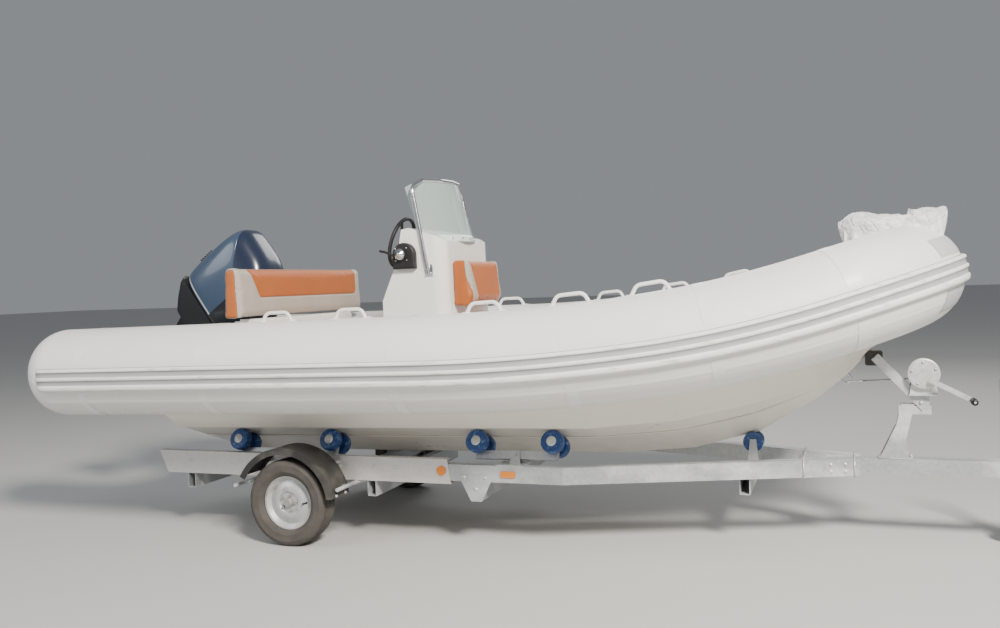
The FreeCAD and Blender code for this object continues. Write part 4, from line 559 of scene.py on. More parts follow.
# Console: a white moulded stand with a soft-cornered front. A stainless rail on two flattened feet
# guards a clear screen, whose lower edge is bolted through a moulded flange.
dress(smooth_white, "console", "console_seat")
dress(black_plastic, "dash_panel")
dress(stainless, "screen_rail")
clear = Finish("clear_acrylic", Roughness=0.04, IOR=1.49, Base_Color=(0.70, 0.86, 0.82, 1), Alpha=0.20)
clear.finish(Normal=clear.relief(clear.noise(1.5, 1), 0.002, 0.15))
dress(clear, "windscreen")
band = mottled("pale_green_screen_edge", (5, 3), (0.60, 0.72, 0.68), (0.72, 0.80, 0.77),
               Roughness=0.15, Coat_Weight=0.4)
SCREEN_HALF, SCREEN_BOW, SCREEN_FRONT = 0.385, 0.19, -0.343
SCREEN_FOOT, SCREEN_HIGH, SCREEN_LEAN = 1.868, 0.394, 0.10
SCREEN_RADIUS = (SCREEN_HALF ** 2 + SCREEN_BOW ** 2) / (2 * SCREEN_BOW)


def screen_spot(share, z, off):
    """A spot on the screen's outer face, from starboard (-1) to port (1)."""
    turn = math.asin(SCREEN_HALF / SCREEN_RADIUS) * share
    middle = SCREEN_FRONT - SCREEN_RADIUS - SCREEN_LEAN * (z - SCREEN_FOOT) / SCREEN_HIGH
    reach = SCREEN_RADIUS + off
    return Vector((middle + reach * math.cos(turn), reach * math.sin(turn), z))


BAND = ((1.869, -0.0075), (1.869, 0.002), (1.878, 0.0035), (1.905, 0.0035), (1.914, 0.0015), (1.914, -0.0075))
band_rows = [[screen_spot(-0.97 + 1.94 * n / 40, z, off) for n in range(41)] for z, off in BAND]
shape("screen_flange", *strip(band_rows), band, slot="acrylic_clear")
screen_bolts = []
for n in range(9):
    share = -0.9 + 1.8 * n / 8
    spot = screen_spot(share, 1.892, 0.0035)
    screen_bolts.append(bolt(spot, spot - screen_spot(share, 1.892, -0.1), 0.0065))
CONSOLE_SIDE = 0.4103
foot = [plate((-0.498, -CONSOLE_SIDE - 0.006, 1.645), (-0.444, -CONSOLE_SIDE + 0.0005, 1.720), 0.003),
        bolt((-0.484, -CONSOLE_SIDE - 0.006, 1.662), (0, -1, 0), 0.006),
        bolt((-0.458, -CONSOLE_SIDE - 0.006, 1.662), (0, -1, 0), 0.006)]
screen_bolts += foot + [to_port(*part) for part in foot]
shape("screen_fixings", *gather(screen_bolts), stainless, slot="stainless")
hatch_seam = mottled("dark_seam_rubber", (30, 4), (0.03, 0.03, 0.03), (0.07, 0.07, 0.07), Roughness=0.7)
HATCH_SEAL = (((-0.770, 1.05), (-0.764, 1.37)), ((-0.440, 1.05), (-0.434, 1.37)),
              ((-0.770, 1.044), (-0.434, 1.05)), ((-0.770, 1.37), (-0.434, 1.376)))
console_parts = []
for near, far in ((-CONSOLE_SIDE - 0.001, -CONSOLE_SIDE), (CONSOLE_SIDE, CONSOLE_SIDE + 0.001)):
    for low, high in HATCH_SEAL:
        console_parts.append(plate((low[0], near, low[1]), (high[0], far, high[1]), 0.0004))
shape("console_hatch_seals", *gather(console_parts), hatch_seam, slot="black_plastic")


# Steering wheel: black moulded grip on a silver three-spoke centre. Dash instruments: four round
# dials with chromed bezels, a switch row and the key, let into the black panel.
wheel_black = mottled("wheel_grip_black", (30, 4), (0.012, 0.012, 0.013), (0.035, 0.034, 0.033),
                      grain=(420, 2), relief=(0.0005, 0.5), Roughness=0.5)
dress(wheel_black, "steering_wheel")
DASH_TURN = math.radians(12.1)
dash_out = Vector((-math.cos(DASH_TURN), 0, math.sin(DASH_TURN)))
dash_up = Vector((math.sin(DASH_TURN), 0, math.cos(DASH_TURN)))
dash_face = Vector((-0.678, 0, 1.850)) + dash_out * 0.0141
BEZEL = ((1, 0.0), (1, 0.004), (0.93, 0.007), (0.86, 0.0045), (0.86, 0.002))
DIALS = ((-0.21, 0.035, 0.042), (0.21, 0.035, 0.042), (-0.12, 0.055, 0.027), (0.12, 0.055, 0.027))
bezels, dials, needles, switches = [], [], [], []
for y, rise, radius in DIALS:
    spot = dash_face + Vector((0, y, 0)) + dash_up * rise
    bezels.append(turned([(radius * share, height) for share, height in BEZEL], spot, dash_out, 40))
    dials.append(turned([(radius * 0.87, 0.0022), (0.0, 0.0022)], spot, dash_out, 40))
    for n in range(9):
        swing = math.radians(-120 + 30 * n)
        along = dash_up * math.cos(swing) + Vector((0, 1, 0)) * math.sin(swing)
        edge = along.cross(dash_out) * 0.0007
        near, far = [spot + dash_out * 0.0028 + along * radius * share for share in (0.68, 0.82)]
        needles.append(([near - edge, near + edge, far + edge, far - edge], [(0, 1, 2, 3)]))
dash_axes = Matrix((Vector((0, 1, 0)), dash_up, dash_out)).transposed()
for n in range(5):
    middle = dash_face + Vector((0, -0.20 + 0.1 * n, 0)) + dash_up * -0.052
    points, faces = plate((-0.011, -0.008, 0.0), (0.011, 0.008, 0.006), 0.002)
    switches.append(([middle + dash_axes @ p for p in points], faces))
shape("dial_bezels", *gather(bezels), stainless, slot="stainless")
dial_face = mottled("dial_face_black", (40, 2), (0.01, 0.012, 0.015), (0.02, 0.022, 0.026),
                    Roughness=0.25, Coat_Weight=0.8)
shape("dial_faces", *gather(dials), dial_face, slot="black_plastic")
shape("dial_marks", *gather(needles), rib_white, slot="handle_white")
shape("dash_switches", *gather(switches), black_plastic, slot="black_plastic")


# Throttle: a dark moulded pod on the console's side, a bright hub disc with its clamp ring, and the
# lever. The pod's own solid stays; the hub and ring are turned in stainless.
dress(black_plastic, "throttle")
hub_spot = Vector((-0.644, -0.4763, 1.794))
HUB = [(0.036, 0.0), (0.036, 0.004), (0.030, 0.008), (0.028, 0.012), (0.016, 0.013), (0.015, 0.019),
       (0.0, 0.020)]
hub_parts = [turned(HUB, hub_spot, (0, -1, 0), 40)]
for n in range(4):
    swing = math.radians(45 + 90 * n)
    spot = hub_spot + Vector((math.cos(swing) * 0.055, 0.0237, math.sin(swing) * 0.055))
    hub_parts.append(bolt(spot, (0, -1, 0), 0.004))
shape("throttle_hub", *gather(hub_parts), stainless, slot="stainless")


# Cushions: vinyl covers over foam, cognac panels let into warm grey ones. Each is blown up by a short
# cloth simulation and then pressed in along its seams.
VOXEL, CLOTH_STEPS = 0.009, 20


def settle(item):
    """Keep what the modifiers make as the piece's own mesh."""
    bpy.context.view_layer.update()
    graph = bpy.context.evaluated_depsgraph_get()
    settled = bpy.data.meshes.new_from_object(item.evaluated_get(graph))
    item.modifiers.clear()
    item.data = settled


def blown_up(pads):
    """Puffed copies of the soft solids, in the boat's axes, simulated together. Each pad gives its
    node, how far it is shrunk first, how far it may bulge, and its cover."""
    level = BOAT.inverted()
    covers = []
    for node, shrink, bulge, cover in pads:
        low, high = [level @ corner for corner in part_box(node)]
        middle = (low + high) / 2
        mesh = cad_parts[node].data.copy()
        mesh.transform(level)
        for vertex in mesh.vertices:
            away = vertex.co - middle
            vertex.co = middle + Vector([a * (1 - 2 * shrink / s) for a, s in zip(away, high - low)])
        mesh.materials.clear()
        mesh.materials.append(cover.material)
        item = bpy.data.objects.new(node + "_cover", mesh)
        bpy.context.collection.objects.link(item)
        item.matrix_world = BOAT
        remesh = item.modifiers.new("remesh", "REMESH")
        remesh.mode = "VOXEL"
        remesh.voxel_size = VOXEL
        covers.append((item, bulge))
    for item, bulge in covers:
        settle(item)
    starts = [[v.co.copy() for v in item.data.vertices] for item, bulge in covers]
    for item, bulge in covers:
        cloth = item.modifiers.new("cloth", "CLOTH")
        cloth.settings.use_pressure = True
        cloth.settings.uniform_pressure_force = 4
        cloth.settings.effector_weights.gravity = 0
        cloth.settings.quality = 5
        cloth.point_cache.frame_end = CLOTH_STEPS
    for step in range(1, CLOTH_STEPS + 1):
        bpy.context.scene.frame_set(step)
    for (item, bulge), before in zip(covers, starts):
        settle(item)
        for vertex, start in zip(item.data.vertices, before):
            move = vertex.co - start
            vertex.co = start + move * min(1, bulge / max(move.length, 1e-6))
    bpy.context.scene.frame_set(1)
    for item, bulge in covers:
        smooth = item.modifiers.new("smooth", "SUBSURF")
        smooth.levels = smooth.render_levels = 1
        settle(item)
        item.data.polygons.foreach_set("use_smooth", [True] * len(item.data.polygons))
    return [item for item, bulge in covers]


def press(item, depth_at):
    """Push each point in along its normal by a depth worked out from its place."""
    normals = [v.normal.copy() for v in item.data.vertices]
    for vertex, normal in zip(item.data.vertices, normals):
        vertex.co -= normal * depth_at(vertex.co, normal)


def line_gap(a, b, p, q):
    """How far the point (p, q) is from the run a to b, in a plane."""
    run = (b[0] - a[0], b[1] - a[1])
    share = max(0, min(1, ((p - a[0]) * run[0] + (q - a[1]) * run[1]) / (run[0] ** 2 + run[1] ** 2)))
    return math.hypot(p - a[0] - run[0] * share, q - a[1] - run[1] * share)


GREY_VINYL, COGNAC_VINYL = (0.36, 0.315, 0.265), (0.36, 0.086, 0.013)
SEAM_SOFT = 0.003


def vinyl(name, panel):
    """Cushion cover: panel gives a signal that is 1 on cognac panels and 0 on grey ones."""
    made = Finish(name, Sheen_Weight=0.1)
    grain = made.node("ShaderNodeTexVoronoi", {"feature": "SMOOTH_F1"},
                      {"Vector": made.place, "Scale": 420.0})
    age = made.noise(7, 5)
    mask = panel(made)
    cognac = made.blend(age, COGNAC_VINYL, (0.44, 0.122, 0.022))
    grey = made.blend(age, GREY_VINYL, (0.45, 0.40, 0.345))
    edge = made.step(abs(mask - 0.5), 0.5, 0.32)
    colour = made.blend(edge * 0.75, made.blend(mask, grey, cognac), (0.10, 0.07, 0.05))
    made.finish(Base_Color=colour, Roughness=0.40 + 0.22 * age,
                Normal=made.relief(grain, 0.0009, 0.45, made.relief(made.noise(11, 3), 0.0025, 0.3)))
    return made


def past(made, signal, edge, way=1):
    """1 where the signal is above the edge, or below it where way is -1."""
    return made.step(signal, edge - way * SEAM_SOFT, edge + way * SEAM_SOFT)


def pinch(gap, depth=0.0045, width=0.007):
    """How far a seam pulls in the cover at this distance from it."""
    return depth * math.exp(-(gap / width) ** 2)


# Long backrest: cognac ends, and a cognac insert that slants at starboard and has a round corner at
# port. The slanting edge starts at a height and a half width and gains half width as it rises, and
# its seam runs along it.
END_PANEL = 0.816
INSERT_PORT, INSERT_FOOT, INSERT_ROUND = 0.735, 1.565, 0.05
SLANT_HEIGHT, SLANT_START, SLANT_GAIN = 1.56, 0.575, 0.55
SLANT_SEAM, RIM_END = ((-0.578, INSERT_FOOT), (-0.707, 1.80)), -0.58


def backrest_panel(made):
    """1 on the cognac ends and the cognac insert."""
    starboard = past(made, made.aside + (made.up - SLANT_HEIGHT) * SLANT_GAIN, -SLANT_START)
    past_side = maths("MAXIMUM", made.aside - (INSERT_PORT - INSERT_ROUND), 0.0)
    below_foot = maths("MAXIMUM", INSERT_FOOT + INSERT_ROUND - made.up, 0.0)
    reach = maths("SQRT", past_side * past_side + below_foot * below_foot)
    insert = past(made, reach, INSERT_ROUND, -1) * starboard * past(made, made.across, -1.665)
    end = past(made, abs(made.aside), END_PANEL)
    return insert + end - insert * end


def backrest_seams(p, normal):
    end_seam = abs(abs(p.y) - END_PANEL)
    if normal.x > 0.6:
        reach = math.hypot(max(p.y - (INSERT_PORT - INSERT_ROUND), 0),
                           max(INSERT_FOOT + INSERT_ROUND - p.z, 0))
        rim = abs(reach - INSERT_ROUND) if p.y > RIM_END else 1
        return pinch(min(rim, line_gap(*SLANT_SEAM, p.y, p.z), end_seam))
    return pinch(end_seam) if abs(normal.y) < 0.6 else 0


# Upright pad: cognac, with a grey stripe that slants down its starboard side and a grey port edge.
STRIPE_FOOT, STRIPE_TOP = 1.46, 1.76
STRIPE_STARTS, STRIPE_ENDS = (0.235, 0.30), (0.145, 0.36)
PORT_EDGE = 0.249


def upright_panel(made):
    rise = made.up - STRIPE_FOOT
    started, ended = [past(made, made.aside + rise * gain, -start)
                      for start, gain in (STRIPE_STARTS, STRIPE_ENDS)]
    on_front = past(made, made.across + (made.up - 1.75) * 0.08, -0.281)
    grey = started * (1 - ended) * on_front + past(made, made.aside, PORT_EDGE)
    return 1 - grey


def upright_seams(p, normal):
    if normal.x <= 0.5:
        return 0
    tall = STRIPE_TOP - STRIPE_FOOT
    slants = [line_gap((-start, STRIPE_FOOT), (-start - gain * tall, STRIPE_TOP), p.y, p.z)
              for start, gain in (STRIPE_STARTS, STRIPE_ENDS)]
    return pinch(min(*slants, abs(p.y - PORT_EDGE)), 0.004)


# Console cushion: cognac on top of a grey band, with a seam down the middle.
BAND_TOP = 1.355


def seat_panel(made):
    return past(made, made.up, BAND_TOP)


def seat_seams(p, normal):
    return pinch(min(abs(p.z - BAND_TOP), abs(p.y) if normal.z > 0.5 else 1), 0.004)


# Bench cushion: a cognac middle inside a grey border, in three sewn panels.
BORDER_SIDE, BORDER_AFT, BORDER_FORE, BENCH_PANEL = 0.572, -1.557, -1.249, 0.21


def bench_panel(made):
    inside = past(made, abs(made.aside), BORDER_SIDE, -1)
    fore = past(made, made.across, BORDER_AFT) * past(made, made.across, BORDER_FORE, -1)
    return inside * fore * past(made, made.up, 1.288)


def bench_seams(p, normal):
    if normal.z <= 0.5:
        return 0
    return pinch(min(abs(abs(p.y) - BENCH_PANEL), abs(abs(p.y) - BORDER_SIDE),
                     abs(p.x - BORDER_AFT), abs(p.x - BORDER_FORE)), 0.005, 0.008)


PADS = (("bench_backrest", 0.006, 0.012, vinyl("backrest_vinyl", backrest_panel)),
        ("console_backrest", 0.005, 0.010, vinyl("upright_vinyl", upright_panel)),
        ("console_cushion", 0.005, 0.010, vinyl("seat_vinyl", seat_panel)),
        ("bench_cushion", 0.006, 0.011, vinyl("bench_vinyl", bench_panel)))
for item, pad, seams in zip(blown_up(PADS), PADS, (backrest_seams, upright_seams, seat_seams, bench_seams)):
    press(item, seams)
    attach(item, ROOT)
    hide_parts(pad[0])
dress(smooth_white, "stern_bench")


# Grab handles: white moulded grips on glued oval patches along the tops of the tubes.
grip_white = mottled("white_grip_plastic", (12, 5), (0.78, 0.77, 0.74), (0.86, 0.855, 0.84),
                     grain=(300, 2), relief=(0.0005, 0.4), Roughness=0.42)
dress(grip_white, "grab_handles")
PATCH_HALF, PATCH_SPREAD = 0.165, 14
close_frames = tube_frames(0.012)
HANDLES = ((-1.245, -1), (-0.739, -1), (0.107, -1), (0.602, -1), (1.035, -1),
           (-1.245, 1), (-0.415, 1), (0.379, 1), (0.875, 1), (1.320, 1))
patches = []
for where, side in HANDLES:
    near = [f for f in close_frames if abs(f[0].x - where) < PATCH_HALF]
    rows = []
    for f in near:
        reach = math.sqrt(max(0.0, 1 - ((f[0].x - where) / PATCH_HALF) ** 2))
        rows.append([on_tube(f, 90 + PATCH_SPREAD * reach * (n / 6 - 1),
                             0.0018 if 0 < n < 12 and reach > 0.1 else EDGE_RISE) for n in range(13)])
    patch = strip(rows)
    patches.append(to_port(*patch) if side > 0 else patch)
shape("handle_patches", *gather(patches), seam_tape, slot="pvc_white")
dress(stainless, "bow_eye", "stern_eyes", "strap_hook")


# Outboard engine, tilted up: painted leg, brackets and propeller, a black lower tray, and a moulded hood in
# navy, whose aft panel is painted a lighter blue-grey as a painted sky light. The hood is one piece, latched
# over the tray.
ENGINE = BOAT @ Matrix.Translation((-2.45, 0, 1.15)) @ Matrix.Rotation(math.radians(56), 4, "Y")
engine_black = mottled("engine_black_paint", (8, 6), (0.009, 0.0095, 0.011), (0.028, 0.028, 0.028),
                       wear=(0.5, 0.75), rough=(0.28, 0.3), grain=(160, 3), relief=(0.0006, 0.4),
                       Coat_Weight=0.2, Coat_Roughness=0.2, Specular_IOR_Level=0.3)
dress(engine_black, "clamp_bracket", "swivel_bracket", "engine_leg", "lower_cowl", "engine_block",
      "propeller")
# Heights up the hood, each with its front, its back and its half width.
HOOD = [(0.2512, 0.090, -0.560, 0.205), (0.262, 0.097, -0.566, 0.213), (0.30, 0.095, -0.580, 0.220),
        (0.42, 0.080, -0.588, 0.2235), (0.54, 0.056, -0.589, 0.2235), (0.63, 0.030, -0.588, 0.220),
        (0.70, -0.030, -0.585, 0.210), (0.76, -0.105, -0.578, 0.192), (0.805, -0.175, -0.566, 0.165),
        (0.832, -0.240, -0.545, 0.128), (0.845, -0.300, -0.510, 0.085), (0.849, -0.360, -0.460, 0.035)]
HOOD_SIDES, SQUARENESS = 64, 2 / 3.6


def square_ring(front, rear, half, z):
    """A rounded rectangle round the hood, as points."""
    ring = []
    for n in range(HOOD_SIDES):
        turn = math.tau * n / HOOD_SIDES
        along, aside = [math.copysign(abs(share) ** SQUARENESS, share)
                        for share in (math.cos(turn), math.sin(turn))]
        ring.append(Vector(((front + rear) / 2 + (front - rear) / 2 * along, half * aside, z)))
    return ring


hood_rings = [square_ring(front, rear, half, z) for z, front, rear, half in HOOD]
hood_points, hood_faces = strip(hood_rings, closed=True)
hood_faces.append(tuple(range(len(hood_points) - HOOD_SIDES, len(hood_points))))
hood_paint = Finish("navy_hood_paint", Coat_Weight=0.45, Coat_Roughness=0.06)
crest = hood_paint.up + hood_paint.across * 0.82
below_crest = hood_paint.step(crest, 0.381, 0.376)
aft_part = hood_paint.step(hood_paint.across, -0.186, -0.191)
panel = below_crest * aft_part
chin = below_crest * (1 - aft_part)
flake = hood_paint.noise(900, 2)
swirl = hood_paint.noise(3, 4)
navy = hood_paint.blend(swirl, (0.009, 0.014, 0.034), (0.018, 0.027, 0.056))
# The aft panel is painted a lighter blue-grey, a painted sky light on the navy.
sky_lit_blue = hood_paint.blend(swirl, (0.028, 0.050, 0.090), (0.048, 0.076, 0.125))
line = hood_paint.step(abs(hood_paint.up - 0.279), 0.0065, 0.0050) * aft_part
lip = hood_paint.step(hood_paint.up, 0.268, 0.264)
navy_and_sky_light = hood_paint.blend(panel, navy, sky_lit_blue)
dark_chin = hood_paint.blend(chin, navy_and_sky_light, (0.011, 0.012, 0.015))
painted = hood_paint.blend(line * 0.85, dark_chin, (0.55, 0.57, 0.60))
hood_paint.finish(Base_Color=hood_paint.blend(lip, painted, (0.016, 0.016, 0.018)),
                  Roughness=0.22 + 0.1 * flake, Normal=hood_paint.relief(panel + line, 0.003, 0.6))
hood = shape("engine_hood", hood_points, hood_faces, hood_paint, body="engine", place=ENGINE,
             slot="cowl_navy")
smoother = hood.modifiers.new("smooth", "SUBSURF")
smoother.levels = smoother.render_levels = 2
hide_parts("upper_cowl")
vents = []
for side in (-1, 1):
    for n in range(6):
        z = 0.40 + 0.022 * n
        y = side * 0.075
        vents.append(plate((-0.592, y - 0.045, z), (-0.584, y + 0.045, z + 0.010), 0.003))
shape("hood_vents", *gather(vents), black_plastic, body="engine", place=ENGINE, slot="black_plastic")
latches = [plate((0.078, -0.035, 0.272), (0.100, 0.035, 0.310), 0.006),
           plate((-0.596, -0.04, 0.27), (-0.580, 0.04, 0.312), 0.006)]
shape("hood_latches", *gather(latches), black_plastic, body="engine", place=ENGINE, slot="black_plastic")
SHAFT_Z = -0.815
leg_details = [bolt((x, side * 0.0622, z), (0, side, 0), 0.006)
               for x in (-0.20, -0.30) for z in (-0.30, -0.42) for side in (-1, 1)]
for n in range(5):
    inlet = SHAFT_Z + 0.085 + n * 0.014
    for y in (-0.0262, 0.0262):
        leg_details.append(plate((-0.20, y - 0.001, inlet), (-0.165, y + 0.001, inlet + 0.006), 0.0008))
shape("leg_bolts_and_inlets", *gather(leg_details), stainless, body="engine", place=ENGINE, slot="stainless")


# Trailer frame: folded channels and box beams, hot-dip galvanised after welding. The zinc shows as dull grey
# spangles; the side rails face the sun and are painted paler, a painted sunlight.
IN_PLACE = Matrix.Identity(4)


def zinc(name, dark, light, pale=0.0):
    """Galvanised steel: spangles, chalky patches and a few rust specks."""
    made = Finish(name)
    spangle = made.node("ShaderNodeTexVoronoi", {"feature": "F1"},
                        {"Vector": made.place, "Scale": 62.0}, output="Color")
    tone = made.node("ShaderNodeRGBToBW", {}, {"Color": spangle})
    chalk = made.step(made.noise(5, 6, (0.5, 1, 1)), 0.42, 0.66)
    specks = made.step(made.noise(120, 5), 0.69, 0.73)
    base = made.blend(tone * 0.5 + chalk * 0.5, dark, light)
    made.finish(Base_Color=made.blend(specks * 0.35, base, (0.30, 0.20, 0.13)),
                Metallic=0.62 - 0.4 * chalk - pale, Roughness=0.34 + 0.22 * chalk + 0.12 * tone,
                Normal=made.relief(made.noise(28, 4), 0.0012, 0.3, made.relief(tone, 0.0003, 0.2)))
    return made


galvanised = zinc("galvanised_steel", (0.40, 0.42, 0.44), (0.60, 0.62, 0.63))
# The side rails get a paler zinc, a painted sunlight where the sun strikes them.
sunlit_zinc = zinc("painted_sunlit_zinc", (0.60, 0.585, 0.575), (0.74, 0.72, 0.71), 0.12)
bright_zinc = zinc("bright_zinc_plate", (0.58, 0.60, 0.60), (0.76, 0.77, 0.75))
dress(sunlit_zinc, "side_rails")
dress(galvanised, "frame_arms", "drawbar", "cross_beams", "axle", "mudguard_stays", "roller_cradles",
      "cradle_brackets", "winch_post")
RAIL_FACE = 0.680


def arm_face(x):
    """How far the outer face of a draw frame arm is from the middle."""
    return 0.100 + (2.060 - x) * 0.3506


frame_bolts = []
for side in (-1, 1):
    for x in (-2.20, -1.05, -0.80, -0.66):
        frame_bolts.append(bolt((x, side * RAIL_FACE, 0.475), (0, side, 0), 0.010))
    for x in (-1.55, -1.05):
        frame_bolts.append(bolt((x, side * 0.7425, 0.501), (0, -side, 0), 0.009))
    for x, z in ((-0.195, 0.43), (-0.06, 0.43), (-0.12, 0.36)):
        frame_bolts.append(bolt((x, side * RAIL_FACE, z), (0, side, 0), 0.008))
    for x in (1.90, 1.98):
        for z in (0.435, 0.475):
            frame_bolts.append(bolt((x, side * arm_face(x), z), (0.35, side, 0), 0.009))
for x in (2.174, 2.340):
    for y in (-0.017, 0.017):
        frame_bolts.append(bolt((x, y, 0.510), (0, 0, 1), 0.008))
shape("frame_bolts", *gather(frame_bolts), bright_zinc, place=IN_PLACE, slot="galvanised")


def round_bar(points, radius, count=12):
    """A round bar along points, with its ends capped."""
    points = [Vector(p) for p in points]
    rows = []
    side = None
    for n, spot in enumerate(points):
        run = (points[min(n + 1, len(points) - 1)] - points[max(n - 1, 0)]).normalized()
        side = (side - run * side.dot(run)).normalized() if side else run.orthogonal().normalized()
        other = run.cross(side)
        turns = [math.tau * k / count for k in range(count)]
        rows.append([spot + (side * math.cos(turn) + other * math.sin(turn)) * radius for turn in turns])
    made, faces = strip(rows, closed=True)
    faces.append(tuple(reversed(range(count))))
    faces.append(tuple(range(len(made) - count, len(made))))
    return made, faces


weld = Finish("weld_bead", Metallic=0.5, Roughness=0.45)
ripple = weld.node("ShaderNodeTexWave", {"bands_direction": "X"},
                   {"Vector": weld.place, "Scale": 90.0, "Distortion": 1.5})
weld.finish(Base_Color=weld.blend(ripple, (0.36, 0.37, 0.38), (0.56, 0.57, 0.58)),
            Normal=weld.relief(ripple, 0.001, 0.6))
beads = []
for side in (-1, 1):
    beads.append(round_bar([(2.160, side * 0.0401, 0.5005), (2.350, side * 0.0401, 0.5005)], 0.003, 8))
    for x in (-2.230, -2.170, -0.860, -0.800, -0.150, -0.090):
        beads.append(round_bar([(x, side * 0.630, 0.3845), (x, side * 0.671, 0.3845)], 0.0028, 8))
shape("frame_welds", *gather(beads), weld, place=IN_PLACE, slot="galvanised")
clamps = []
for x in (1.75, 2.03):
    half = arm_face(x) + 0.005
    bends = ((-half, 0.400), (-half, 0.508), (half, 0.508), (half, 0.400))
    clamps.append(round_bar([(x, y, z) for y, z in bends], 0.005, 10))
shape("arm_clamps", *gather(clamps), bright_zinc, place=IN_PLACE, slot="galvanised")


# Wheels: road tyres on pressed steel rims. The tread has four ribs round it and shallow cross cuts;
# the rims are silver, the brake drums and hubs cast, each with a black valve stem.
WHEEL_Y, TYRE_OUT = 0.85, 0.2725
rubber = Finish("road_tyre_rubber", Specular_IOR_Level=0.3)
tyre_dust = rubber.noise(12, 6)
moulding_rings = rubber.node("ShaderNodeTexWave", {"wave_type": "RINGS", "rings_direction": "SPHERICAL"},
                             {"Vector": rubber.place, "Scale": 4.0})
moulded = rubber.relief(moulding_rings, 0.0004, 0.15)
rubber.finish(Base_Color=rubber.blend(tyre_dust, (0.040, 0.037, 0.034), (0.115, 0.105, 0.095)),
              Roughness=0.68 + 0.25 * tyre_dust,
              Normal=rubber.relief(rubber.noise(240, 4), 0.0006, 0.4, moulded))
# Half the tyre's outline, from the bead out, and then its mirror image.
TYRE = [(0.1684, -0.058), (0.176, -0.067), (0.186, -0.073), (0.197, -0.0785), (0.199, -0.0800),
        (0.201, -0.0795), (0.214, -0.0815), (0.226, -0.0822), (0.236, -0.0812), (0.2375, -0.0822),
        (0.2395, -0.0805), (0.249, -0.078), (0.257, -0.074), (0.2635, -0.0685), (0.2675, -0.0640),
        (0.2692, -0.0590)]
for groove in (-0.040, -0.0135):
    TYRE += [(0.2712, groove - 0.0062), (0.2700, groove - 0.0052), (0.2640, groove - 0.0034),
             (0.2640, groove + 0.0034), (0.2700, groove + 0.0052), (0.2716, groove + 0.0062)]
TYRE += [(r, -y) for r, y in reversed(TYRE)]
TYRE_STEPS, TREAD_RADIUS, CUT_SHARE = 180, 0.2690, 0.9895
for side, word in ((-1, "right"), (1, "left")):
    points, faces = turned(TYRE, (AXLE_X, side * WHEEL_Y, TYRE_OUT), (0, 1, 0), TYRE_STEPS)
    for number, (radius, _) in enumerate(TYRE):
        if radius > TREAD_RADIUS:
            for n in range(number * TYRE_STEPS, (number + 1) * TYRE_STEPS, 3):
                middle = Vector((AXLE_X, points[n].y, TYRE_OUT))
                points[n] = middle + (points[n] - middle) * CUT_SHARE
    tyre = shape("road_tyre_" + word, points, faces, rubber, body=word + "_wheel", place=IN_PLACE,
                 slot="tyre_rubber")
    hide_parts("tyre_" + word)
rim_paint = mottled("silver_rim_paint", (16, 6), (0.50, 0.51, 0.51), (0.33, 0.30, 0.27), wear=(0.5, 0.78),
                    rough=(0.30, 0.25), grain=(300, 2), relief=(0.0003, 0.25), Metallic=0.45, Coat_Weight=0.2)
cast = mottled("cast_hub", (60, 5), (0.22, 0.22, 0.22), (0.42, 0.41, 0.39),
               rough=(0.5, 0.2), relief=(0.0015, 0.5), Metallic=0.4)
STEM = [(0.0075, -0.004), (0.0060, 0.006), (0.0042, 0.012), (0.0042, 0.022), (0.0052, 0.023), (0.0052, 0.033),
        (0.0, 0.034)]
for side, word in ((-1, "right"), (1, "left")):
    dress(rim_paint, "rim_" + word)
    dress(cast, "hub_drum_" + word)
    stem = turned(STEM, (AXLE_X + 0.120, side * (WHEEL_Y + 0.032), TYRE_OUT), (-0.35, side, 0), 16)
    shape("valve_stem_" + word, *stem, black_plastic, body=word + "_wheel", place=IN_PLACE,
          slot="black_plastic")


# Mudguards: black moulded arches with a rolled lip, bolted to their stays with wide washers.
guard_black = mottled("mudguard_black", (6, 6), (0.022, 0.021, 0.021), (0.085, 0.078, 0.070),
                      wear=(0.42, 0.72), rough=(0.42, 0.3), grain=(420, 2), relief=(0.0006, 0.5),
                      Specular_IOR_Level=0.45)
dress(guard_black, "mudguards")
GUARD_RADIUS = 0.350
guard_bolts = []
for side in (-1, 1):
    for angle in (9.5, 150.5):
        swing = math.radians(angle)
        out = Vector((math.cos(swing), 0, math.sin(swing)))
        for y in (0.79, 0.90):
            guard_bolts.append(bolt(Vector((AXLE_X, side * y, TYRE_OUT)) + out * GUARD_RADIUS, out, 0.008))
shape("mudguard_bolts", *gather(guard_bolts), bright_zinc, place=IN_PLACE, slot="galvanised")


# Rollers: blue polyurethane wheels that swivel under the hull on plated pins, and a waisted one
# under the keel. The tread of each is scuffed pale where the hull has run over it.
roller_blue = mottled("blue_polyurethane", (26, 5, (2, 0.6, 2)), (0.008, 0.052, 0.215), (0.13, 0.27, 0.47),
                      wear=(0.52, 0.75), rough=(0.30, 0.3), relief=(0.001, 0.3),
                      Coat_Weight=0.25, Subsurface_Weight=0.05)
dress(roller_blue, "hull_rollers", "keel_roller")
# The pins lie along the hull's bottom, the roller's radius and a small gap below it.
LEAN = math.atan2(258, 640)
PIN_Y, PIN_END = 0.548, 0.0925
PIN_Z = 0.450 + math.tan(LEAN) * PIN_Y - (0.070 + 0.0003) / math.cos(LEAN)
WASHER = [(0.030, 0.0), (0.030, 0.0025), (0.012, 0.003)]
PIN_HEAD = [(0.0125, 0.003), (0.0125, 0.0080), (0.009, 0.0090), (0.0, 0.0093)]
roller_fittings = []
for middle, half in ((0.120, 0.240), (-1.485, 0.345)):
    for x in (middle - half, middle + half):
        for side in (-1, 1):
            for end in (-1, 1):
                out = Vector((0, side * math.cos(LEAN), math.sin(LEAN))) * end
                spot = Vector((x, side * PIN_Y, PIN_Z)) + out * PIN_END
                roller_fittings += [turned(WASHER, spot, out, 28), turned(PIN_HEAD, spot, out, 6)]
shape("roller_washers", *gather(roller_fittings), bright_zinc, slot="galvanised")


